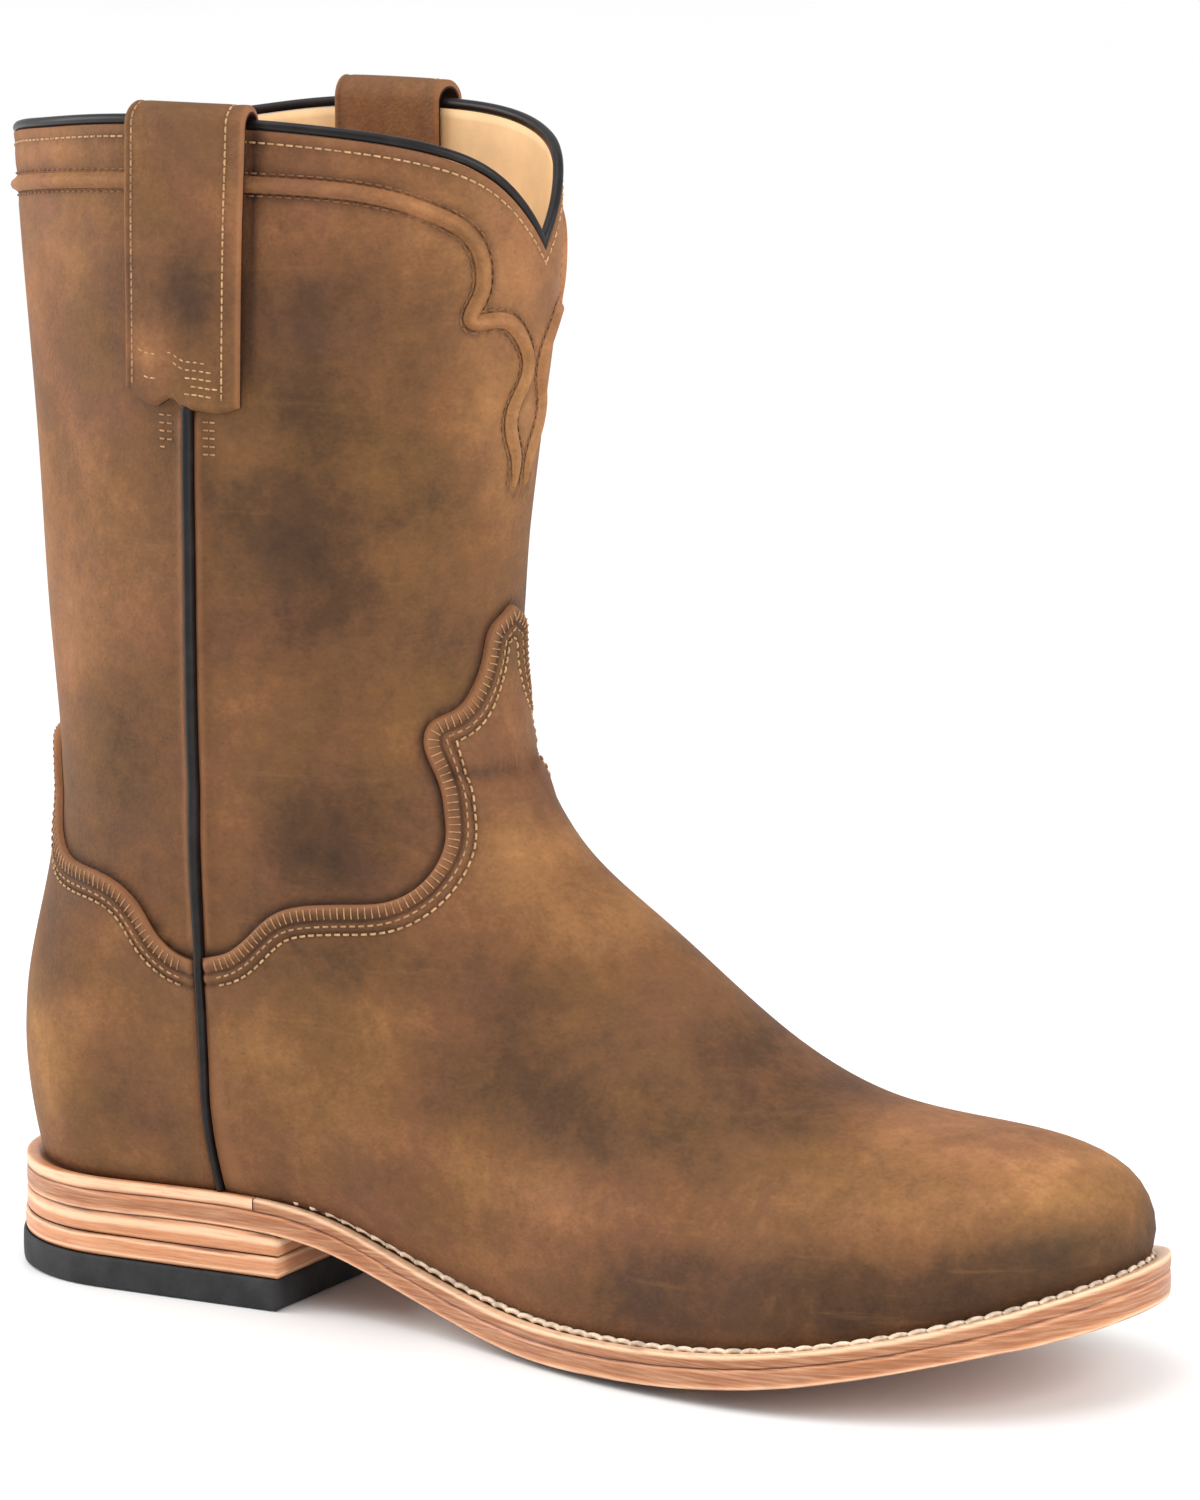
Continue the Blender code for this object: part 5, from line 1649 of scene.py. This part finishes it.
class BOOT_OT_straps(bpy.types.Operator):
    """Build the two pull straps, looped over the collar"""

    bl_idname = "boot.straps"
    bl_label = "Pull straps"

    def execute(self, context):
        sizes = context.scene.boot_sizes
        half = sizes.strap_wide / 2.0
        for side in ("lateral", "medial"):
            near, direction, across, height = strap_face(side == "medial", sizes)
            rows = len(near)
            edge = (half - np.abs(across))[None]
            from_low, from_high = np.arange(rows), np.arange(rows)[::-1]
            ends = np.minimum(from_low * STRAP_END_RISE[0], from_high * STRAP_END_RISE[1])
            ends = np.maximum(ends / STRAP_END_ROUND, 0.02)[:, None]
            round_off = closing(edge / STRAP_EDGE_ROUND) * closing(ends)
            right = ridges(half - across, STRAP_RIGHT)
            left = ridges(half + across, STRAP_LEFT)
            thick = STRAP_THIN + (sizes.strap_thick - STRAP_THIN) * round_off
            thick = thick - STRAP_CHANNEL * (right + left)
            sag = STRAP_SAG * np.sin(height / STRAP_SAG_LENGTH) * (1.0 - (across / half) ** 2)
            far = near + direction * (thick + sag)[..., None]
            near = near + direction * sag[..., None]
            # A dark middle, and a painted highlight on the strap's lower left end
            dark, rub_and_highlight = (ridges(across, wide) * ridges(height, tall)
                            for wide, tall in (STRAP_DARK, STRAP_HIGHLIGHT))
            tone = STRAP_TONE_SHARE * tone_and_painted_light(near) - dark + rub_and_highlight + STRAP_TONE
            tone = np.clip(tone, -1.0, 1.0)
            shell = Shell()
            # Painted shade in the stitched channels of the outer face
            outer = shell.add(far, tone=tone, worn=ridges(edge, (0.0, STRAP_EDGE_ROUND, 0.7)),
                              dirt=0.55 * (left + 0.5 * right))
            # The inner face is darker, painted in shade
            inner = shell.add(near, tone=tone - 0.2, dirt=0.9)
            shell.skin(outer, 0)
            shell.skin(inner, 0, True)
            # The cut edges are dyed dark and painted in the shade of the gap behind the strap
            for border, flip in ((np.s_[0, :], True), (np.s_[-1, :], False),
                                 (np.s_[:, 0], False), (np.s_[:, -1], True)):
                edge_outer = shell.add(far[border], tone=-1.0, dirt=1.6)
                edge_inner = shell.add(near[border], tone=-1.0, dirt=1.6)
                shell.skin(np.stack([edge_outer, edge_inner]), 0, flip)
            piece = outward_checked(shell.build("boot_pull_strap_" + side, [brown_leather()]))
            settle(piece, "distressed_leather", "pull_strap_" + side)
        return {"FINISHED"}


# Sole and heel

# Profile of a cut edge from its upper to its lower rim: how far out, and share of the height
EDGE_PROFILE = ((-0.55, 1.0), (-0.16, 0.97), (0.0, 0.88), (0.06, 0.7), (0.08, 0.5),
                (0.06, 0.3), (0.0, 0.12), (-0.16, 0.03), (-0.55, 0.0))
# Points of a layer across it, round half the sole and round half the heel
LAYER_ACROSS = 14
SOLE_POINTS = 190
HEEL_POINTS = 90
DIAGONAL = 0.707


def seat_u(x):
    """u of the feather line at x on the outer side."""
    return float(np.arccos(1.0 - 2.0 * (x - HEEL_BACK) / (TOE_FRONT - HEEL_BACK)) / (2.0 * pi))


def bottom_layer(name, top, bottom, flare, look, until=None):
    """Flat layer of the sole or heel with rounded, slightly bulging cut edges. A layer of
    the heel ends in a straight breast at until."""
    across = LAYER_ACROSS
    if until is None:
        half = np.linspace(0.0, 0.5, SOLE_POINTS)
    else:
        half = np.linspace(0.0, seat_u(until), HEEL_POINTS)
    lateral, lateral_side = sole_line(half, flare)
    medial, medial_side = sole_line(1.0 - half, flare)
    if until is not None:
        lateral[-1, 0] = medial[-1, 0] = until
    middle = np.linspace(0.0, 1.0, across + 1)[1:-1, None]
    if until is None:
        loop = np.concatenate([lateral, medial[-2:0:-1]])
        normals = np.concatenate([lateral_side, medial_side[-2:0:-1]])
    else:
        breast = lateral[-1] * (1.0 - middle) + medial[-1] * middle
        forward = np.tile((1.0, 0.0), (across - 1, 1))
        loop = np.concatenate([lateral, breast, medial[:0:-1]])
        normals = np.concatenate([lateral_side, forward, medial_side[:0:-1]])
        for k, way in ((len(lateral) - 1, -1.0), (len(lateral) + across - 1, 1.0)):
            normals[k] = DIAGONAL, DIAGONAL * way
    high = top(loop[:, 0], 1.0)
    low = bottom(loop[:, 0], 1.0)
    rings = []
    for out, share in EDGE_PROFILE:
        z = low + (high - low) * share
        rings.append(np.concatenate([loop + normals * out, z[:, None]], 1))
    shell = Shell()
    wall = shell.add(np.array(rings), share=np.array(EDGE_PROFILE)[:, 1:])
    shell.skin(wall, 0, True, closed=True)
    count = len(lateral)
    side = np.abs(2.0 * middle[:, 0] - 1.0)
    for k, level, share in ((0, top, 1.0), (-1, bottom, 0.0)):
        ring, edge = wall[k], rings[k]
        rows = []
        for first in range(count):
            last = -first % len(loop)
            if until is not None and first == count - 1:
                rows.append(ring[count - 1:count + across])
            elif first == last:
                rows.append(np.full(across + 1, ring[first]))
            else:
                inner = edge[first, :2] * (1.0 - middle) + edge[last, :2] * middle
                z = level(inner[:, 0], side)
                numbers = shell.add(np.concatenate([inner, z[:, None]], 1), share=share)
                rows.append(np.concatenate([[ring[first]], numbers, [ring[last]]]))
        shell.skin(np.array(rows), 0, level is bottom)
    return outward_checked(shell.build(name, [look]))


# Stitched trough of the welt: its depth, and its place and width as shares of the way out;
# the shares at which the band has rows of points, and its height over the outsole
TROUGH_DEPTH = 0.7
TROUGH = (0.46, 0.15, TROUGH_DEPTH)
BAND_CLEAR = 0.1
BAND_ROWS = (0.85, 0.76, 0.7, 0.64, 0.58, 0.5, 0.42, 0.34, 0.26, 0.0)
BAND_STATIONS = 420


def edge_band(name, start, end, look):
    """Band under the edge of the upper, from beneath its wall to the sole's edge, with a
    rounded outer edge."""
    u = np.linspace(start, end, BAND_STATIONS)
    inner, _ = feather_line(u, -WALL)
    outer, side = sole_line(u)
    rings, values = [], []

    def ring(plan, share, lowered=0.0):
        top = FEATHER["height"](plan[:, 0]) - LAYER_GAP - lowered
        low = sole_top(plan[:, 0]) + BAND_CLEAR
        rings.append(np.concatenate([plan, (low + (top - low) * share)[:, None]], 1))
        # The second value is painted shade in the stitched trough, darkest at its deepest
        values.append((share, lowered / TROUGH_DEPTH))

    for out, share in EDGE_PROFILE[::-1]:
        ring(outer + side * out, share)
    for t in BAND_ROWS:
        ring(outer * t + inner * (1.0 - t), 1.0, ridges(t, TROUGH))
    ring(inner, 0.0)
    shell = Shell()
    share, dirt = np.array(values).T[..., None]
    grid = shell.add(np.array(rings), share=share, dirt=dirt)
    shell.skin(np.concatenate([grid, grid[:1]]), 0)
    shell.cap(grid[:, 0], True)
    shell.cap(grid[:, -1], False)
    return outward_checked(shell.build(name, [look]))


class BOOT_OT_sole(bpy.types.Operator):
    """Build the welt and the outsole"""

    bl_idname = "boot.sole"
    bl_label = "Welt and outsole"

    def execute(self, context):
        start = seat_u(WELT_START)
        welt = edge_band("boot_welt", start, 1.0 - start, found("welt_edge", stack_look))
        settle(welt, "stacked_leather", "welt")
        look = found("outsole_edge", stack_look)
        outsole = bottom_layer("boot_outsole", lambda x, side: sole_top(x), sole_bottom, 0.0, look)
        settle(outsole, "stacked_leather", "outsole")
        return {"FINISHED"}


class BOOT_OT_heel(bpy.types.Operator):
    """Build the heel's rand, lifts and rubber cap"""

    bl_idname = "boot.heel"
    bl_label = "Heel"

    def execute(self, context):
        start = seat_u(RAND_END)
        rand = edge_band("boot_heel_rand", -start, start, found("rand_edge", stack_look))
        settle(rand, "stacked_leather", "heel_rand")

        def level(z):
            return lambda x, side: np.full(np.shape(x), z)

        def under_sole(x, side):
            return sole_bottom(x, 1.0) - LAYER_GAP

        upper_look = found("upper_lift_edge", stack_look)
        lower_look = found("lower_lift_edge", stack_look)
        rubber = found("matt_black_rubber", black_rubber)
        layers = (
            ("heel_lift_upper", "stacked_leather", under_sole, level(LIFT_SPLIT + LAYER_GAP),
             0.0, upper_look),
            ("heel_lift_lower", "stacked_leather", level(LIFT_SPLIT),
             level(RUBBER_THICK + LAYER_GAP), LIFT_FLARE, lower_look),
            ("heel_cap", "black_rubber", level(RUBBER_THICK), level(0.0), CAP_FLARE, rubber),
        )
        for node, slot, top, bottom, flare, look in layers:
            piece = bottom_layer("boot_" + node, top, bottom, flare, look, BREAST_X)
            settle(piece, slot, node)
        return {"FINISHED"}


class BOOT_OT_insole(bpy.types.Operator):
    """Give the insole its tan leather"""

    bl_idname = "boot.insole"
    bl_label = "Insole"

    def execute(self, context):
        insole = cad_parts["insole"]
        insole.data.materials.clear()
        insole.data.materials.append(found("smooth_tan_lining", tan_lining))
        return {"FINISHED"}


def crosswise(points, along, out):
    """Places whose stitches lie across the line instead of along it."""
    return points, np.cross(out, along), out


# Rows of stitches inside a panel's free edge: distance from it, pitch, lift over the relief,
# and length and thickness of a stitch. The ladder's stitches lie across its row; the other
# rows have the pitch of the settings
LADDER = (1.9, 1.75, 0.03, 2.3, 0.32)
INNER_ROW = (4.9, None, 0.1, 1.2, 0.5)
OUTER_ROW = (6.9, None, 0.12, 1.3, 0.62)

# Stitches of the collar, cord and straps: length and thickness; how far they lie from the
# rim, from the cord's middle and from the strap's edges, and how deep
COLLAR_STITCH = (1.4, 0.5)
COLLAR_STITCH_BELOW = 2.7
COLLAR_STITCH_LIFT = -0.15
CORD_STITCH = (1.35, 0.5)
CORD_STITCH_ASIDE = 2.6
CORD_STITCH_LIFT = -0.1
STRAP_STITCH = (1.25, 0.5)
STRAP_BLOCK_STITCH = (1.2, 0.5)
STRAP_PITCH = 1.9
STRAP_STITCH_RIGHT = 3.6
STRAP_STITCH_LEFT = 2.2
STRAP_STITCH_DEEP = 0.15

# Rows across a strap's lower end: step up the strap, and ends across it
STRAP_BLOCK = ((4, 1.0, 10.5), (6, 3.0, 10.5), (8, 1.5, 10.5), (10, -2.0, 10.5), (12, -4.0, 9.0),
               (7, -11.0, -6.0), (13, -11.5, -5.0))

# Rows below a strap beside the side seam, in the side view: x, bottom and top
STRAP_TAIL_ROWS = ((20.4, 207.0, 217.0), (22.6, 208.5, 217.0),
                   (32.6, 206.5, 216.0), (34.4, 206.5, 216.0))

# Stitches of the welt: length and thickness, slant in degrees, how far in front of the heel
# they begin, where the waist begins, and their share of the way out and height over the
# feather line, at the forefoot and what is added at the waist
WELT_STITCH = (4.0, 1.3)
WELT_SLANT = 9.0
WELT_STITCH_AHEAD = 3.0
WAIST_X = (150.0, 90.0)
WELT_STITCH_OUT = (0.5, 0.1)
WELT_STITCH_HEIGHT = (-0.15, 0.95)


def beside_line(u, h, distance):
    """u and h of a line on the shaft at a distance beside another."""
    side = unit(np.cross(np.gradient(upper_surface(u, h), axis=0), upper_normal(u, h)))
    around = upper_surface(u + U_STEP, h) - upper_surface(u - U_STEP, h)
    climb = upper_surface(u, h + 1.0) - upper_surface(u, h - 1.0)
    around_length = np.linalg.norm(around, axis=-1)
    climb_length = np.linalg.norm(climb, axis=-1)
    du = np.sum(side * around, -1) / around_length ** 2 * 2.0 * U_STEP * distance
    dh = np.sum(side * climb, -1) / climb_length ** 2 * 2.0 * distance
    return u + du, h + dh


def spaced(line, out, pitch):
    """Evenly spaced points of a line with along and out directions."""
    travel = travelled(line)
    stops = np.arange(pitch / 2.0, travel[-1], pitch)
    along = along_line(line, travel, stops + 0.3) - along_line(line, travel, stops - 0.3)
    return along_line(line, travel, stops), unit(along), unit(along_line(out, travel, stops))


def inset_paths(panel, insets):
    """u and h of lines at distances inside a panel's free edge, ends clear of the seams."""
    edge = edge_path(**panel)
    u, h = panel_grid(*edge, panel["fold"], 30)
    bands = len(EDGE_STEPS)
    distance = nearest_distance(upper_surface(u[:bands], h[:bands]), upper_surface(*edge))
    columns = range(3, u.shape[1] - 3)
    return [[np.array([np.interp(inset, distance[:, k], place[:bands, k]) for k in columns])
             for place in (u, h)] for inset in insets]


class BOOT_OT_stitching(bpy.types.Operator):
    """Sew the stitches of the welt, vamp, counter, collar, cord and straps"""

    bl_idname = "boot.stitching"
    bl_label = "Stitching"

    def execute(self, context):
        sizes = context.scene.boot_sizes
        pale, tan, faded, brown = (found(shade + "_thread", thread_look)
                                   for shade in ("pale", "tan", "faded", "brown"))
        self.sew_panels(sizes, tan, faded)
        self.sew_shaft(sizes, tan, brown)
        self.sew_straps(sizes, tan, faded)
        self.sew_welt(sizes, pale)
        return {"FINISHED"}

    def sew_panels(self, sizes, tan, faded):
        for name, panel in (("boot_vamp", VAMP), ("boot_counter", COUNTER)):
            rows = (LADDER, INNER_ROW, OUTER_ROW)
            runs = []
            for path, (inset, pitch, lift, *stitch) in zip(
                    inset_paths(panel, [row[0] for row in rows]), rows):
                lift = lift + float(edge_relief(np.array(inset)))
                places = even_points(*path, pitch or sizes.stitch_pitch, lift)
                runs.append((*(places if pitch is None else crosswise(*places)), *stitch))
            lay_stitches(name + "_stitches", runs[2:], tan)
            lay_stitches(name + "_ladder", runs[:2], faded)

    def sew_shaft(self, sizes, tan, brown):
        u = np.linspace(-0.5, 0.5, 500)
        h = climb_at(u, collar_height(u) - COLLAR_STITCH_BELOW)
        collar = even_points(u, h, sizes.stitch_pitch, COLLAR_STITCH_LIFT)
        lay_stitches("boot_collar_stitches", [(*collar, *COLLAR_STITCH)], tan)
        runs = []
        for aside in (-CORD_STITCH_ASIDE, CORD_STITCH_ASIDE):
            line = beside_line(*cord_line(260), aside)
            places = even_points(*line, sizes.stitch_pitch, CORD_STITCH_LIFT)
            runs.append((*places, *CORD_STITCH))
        lay_stitches("boot_cord_stitches", runs, brown)

    def sew_straps(self, sizes, tan, faded):
        half = sizes.strap_wide / 2.0
        tan_runs, faded_runs = [], []
        for medial in (False, True):
            near, out, across, height = strap_face(medial, sizes)
            face = near + out * (sizes.strap_thick - STRAP_STITCH_DEEP)
            rows = slice(3, int(np.argmax(height[:, len(across) // 2])) + 1)
            for place, runs in ((half - STRAP_STITCH_RIGHT, tan_runs),
                                (STRAP_STITCH_LEFT - half, faded_runs)):
                k = int(np.argmin(np.abs(across - place)))
                runs.append((*spaced(face[rows, k], out[rows, k], STRAP_PITCH), *STRAP_STITCH))
            for level, low, high in STRAP_BLOCK:
                keep = (across > low) & (across < high)
                run = spaced(face[level][keep], out[level][keep], STRAP_PITCH)
                tan_runs.append((*run, *STRAP_BLOCK_STITCH))
            for x, low, high in STRAP_TAIL_ROWS:
                u, h = place_at(np.full(12, x), np.linspace(high, low, 12), medial)
                run = crosswise(*even_points(u, h, STRAP_PITCH, 0.1))
                faded_runs.append((*run, *STRAP_BLOCK_STITCH))
        lay_stitches("boot_strap_stitches_pale", tan_runs, tan)
        lay_stitches("boot_strap_stitches_faded", faded_runs, faded)

    def sew_welt(self, sizes, pale):
        start = seat_u(BREAST_X + WELT_STITCH_AHEAD)
        u = np.linspace(start, 1.0 - start, 900)
        x = upper_surface(u, 0.0)[:, 0]
        at_waist = between(x, *WAIST_X)
        share, lift = (first + more * at_waist
                       for first, more in (WELT_STITCH_OUT, WELT_STITCH_HEIGHT))
        plan, _ = feather_line(u, share * (FEATHER["ledge"](x) + WALL) - WALL)
        line = np.concatenate([plan, (FEATHER["height"](plan[:, 0]) + lift)[:, None]], 1)
        up = np.tile((0.0, 0.0, 1.0), (len(u), 1))
        points, along, out = spaced(line, up, sizes.welt_pitch)
        along = turned_about(along, out, WELT_SLANT)
        lay_stitches("boot_welt_stitches", [(points, along, out, *WELT_STITCH)], pale)


# Stage: camera, floor and light

CAMERA_AZIMUTH = radians(29.81)
CAMERA_RISE = radians(10.69)
CAMERA_DISTANCE = 1.5
CAMERA_TARGET = Vector((0.11413, 0.0, 0.13803))
CAMERA_LENS = 153.47
SENSOR = 36.0
FLOOR_REACH = 14.0
FLOOR_DROP = 0.0002
WORLD_STRENGTH = 0.82
LAMP_AIM = Vector((0.08, 0.0, 0.12))

# Lights: name, kind, place, power, and the sun's angle or the softbox's side
LAMP_ROWS = (
    ("top_sun", "SUN", (-0.3, -0.5, 1.8), 1.1, 0.9),
    ("toe_softbox", "AREA", (1.3, -0.2, 0.7), 11.5, 0.9),
    ("heel_softbox", "AREA", (-1.2, -0.5, 0.6), 10.5, 0.8),
)


def aimed(data, place, direction):
    """New camera or lamp at a place that looks along a direction."""
    made = placed(data.name, data)
    made.location = place
    made.rotation_mode = "QUATERNION"
    made.rotation_quaternion = direction.to_track_quat("-Z", "Y")
    return made


class BOOT_OT_stage(bpy.types.Operator):
    """Set up the camera, the pale floor and the soft studio light"""

    bl_idname = "boot.stage"
    bl_label = "Stage"

    def execute(self, context):
        scene = context.scene
        back = Vector((sin(CAMERA_AZIMUTH) * cos(CAMERA_RISE),
                       -cos(CAMERA_AZIMUTH) * cos(CAMERA_RISE), sin(CAMERA_RISE)))
        lens = bpy.data.cameras.new("photo_view")
        lens.sensor_fit = "VERTICAL"
        lens.sensor_height = SENSOR
        lens.sensor_width = SENSOR
        lens.lens = CAMERA_LENS
        lens.clip_start = 0.05
        lens.clip_end = 60.0
        scene.camera = aimed(lens, CAMERA_TARGET + back * CAMERA_DISTANCE, -back)
        self.lay_floor()
        self.hang_lights(scene)
        scene.view_settings.view_transform = "Standard"
        return {"FINISHED"}

    def lay_floor(self):
        mesh = bpy.data.meshes.new("studio_floor")
        corners = [(FLOOR_REACH * x, FLOOR_REACH * y, 0.0)
                   for x, y in ((-1, -1), (1, -1), (1, 1), (-1, 1))]
        mesh.from_pydata(corners, [], [(0, 1, 2, 3)])
        mesh.materials.append(found("studio_floor", plain_floor))
        floor = placed("studio_floor", mesh)
        floor.location = (0.0, 0.0, -FLOOR_DROP)

    def hang_lights(self, scene):
        world = bpy.data.worlds.new("studio_white")
        world.use_nodes = True
        background = world.node_tree.nodes["Background"]
        background.inputs["Color"].default_value = (1.0, 1.0, 1.0, 1.0)
        background.inputs["Strength"].default_value = WORLD_STRENGTH
        scene.world = world
        for name, kind, place, power, size in LAMP_ROWS:
            data = bpy.data.lights.new(name, kind)
            data.energy = power
            if kind == "SUN":
                data.angle = size
            else:
                data.shape = "SQUARE"
                data.size = size
            aimed(data, place, LAMP_AIM - Vector(place))


PIECES = (
    BOOT_OT_upper,
    BOOT_OT_vamp,
    BOOT_OT_counter,
    BOOT_OT_piping,
    BOOT_OT_cord,
    BOOT_OT_straps,
    BOOT_OT_sole,
    BOOT_OT_heel,
    BOOT_OT_insole,
    BOOT_OT_stitching,
    BOOT_OT_stage,
)


class BOOT_PT_panel(bpy.types.Panel):
    """Settings and builders of the roper boot"""

    bl_idname = "BOOT_PT_panel"
    bl_label = "Roper boot"
    bl_space_type = "VIEW_3D"
    bl_region_type = "UI"
    bl_category = "Roper boot"

    def draw(self, context):
        layout = self.layout
        for group in (context.scene.boot_sizes, context.scene.boot_colours):
            box = layout.box()
            for name in group.__annotations__:
                box.prop(group, name)
        for piece in PIECES:
            layout.operator(piece.bl_idname)


CLASSES = (BootSizes, BootColours, *PIECES, BOOT_PT_panel)


def register():
    for each in CLASSES:
        bpy.utils.register_class(each)
    bpy.types.Scene.boot_sizes = bpy.props.PointerProperty(type=BootSizes)
    bpy.types.Scene.boot_colours = bpy.props.PointerProperty(type=BootColours)


def unregister():
    del bpy.types.Scene.boot_colours
    del bpy.types.Scene.boot_sizes
    for each in reversed(CLASSES):
        bpy.utils.unregister_class(each)


def main():
    register()
    bpy.ops.boot.upper()
    bpy.ops.boot.vamp()
    bpy.ops.boot.counter()
    bpy.ops.boot.piping()
    bpy.ops.boot.cord()
    bpy.ops.boot.straps()
    bpy.ops.boot.sole()
    bpy.ops.boot.heel()
    bpy.ops.boot.insole()
    bpy.ops.boot.stitching()
    bpy.ops.boot.stage()


if __name__ == "__main__":
    main()
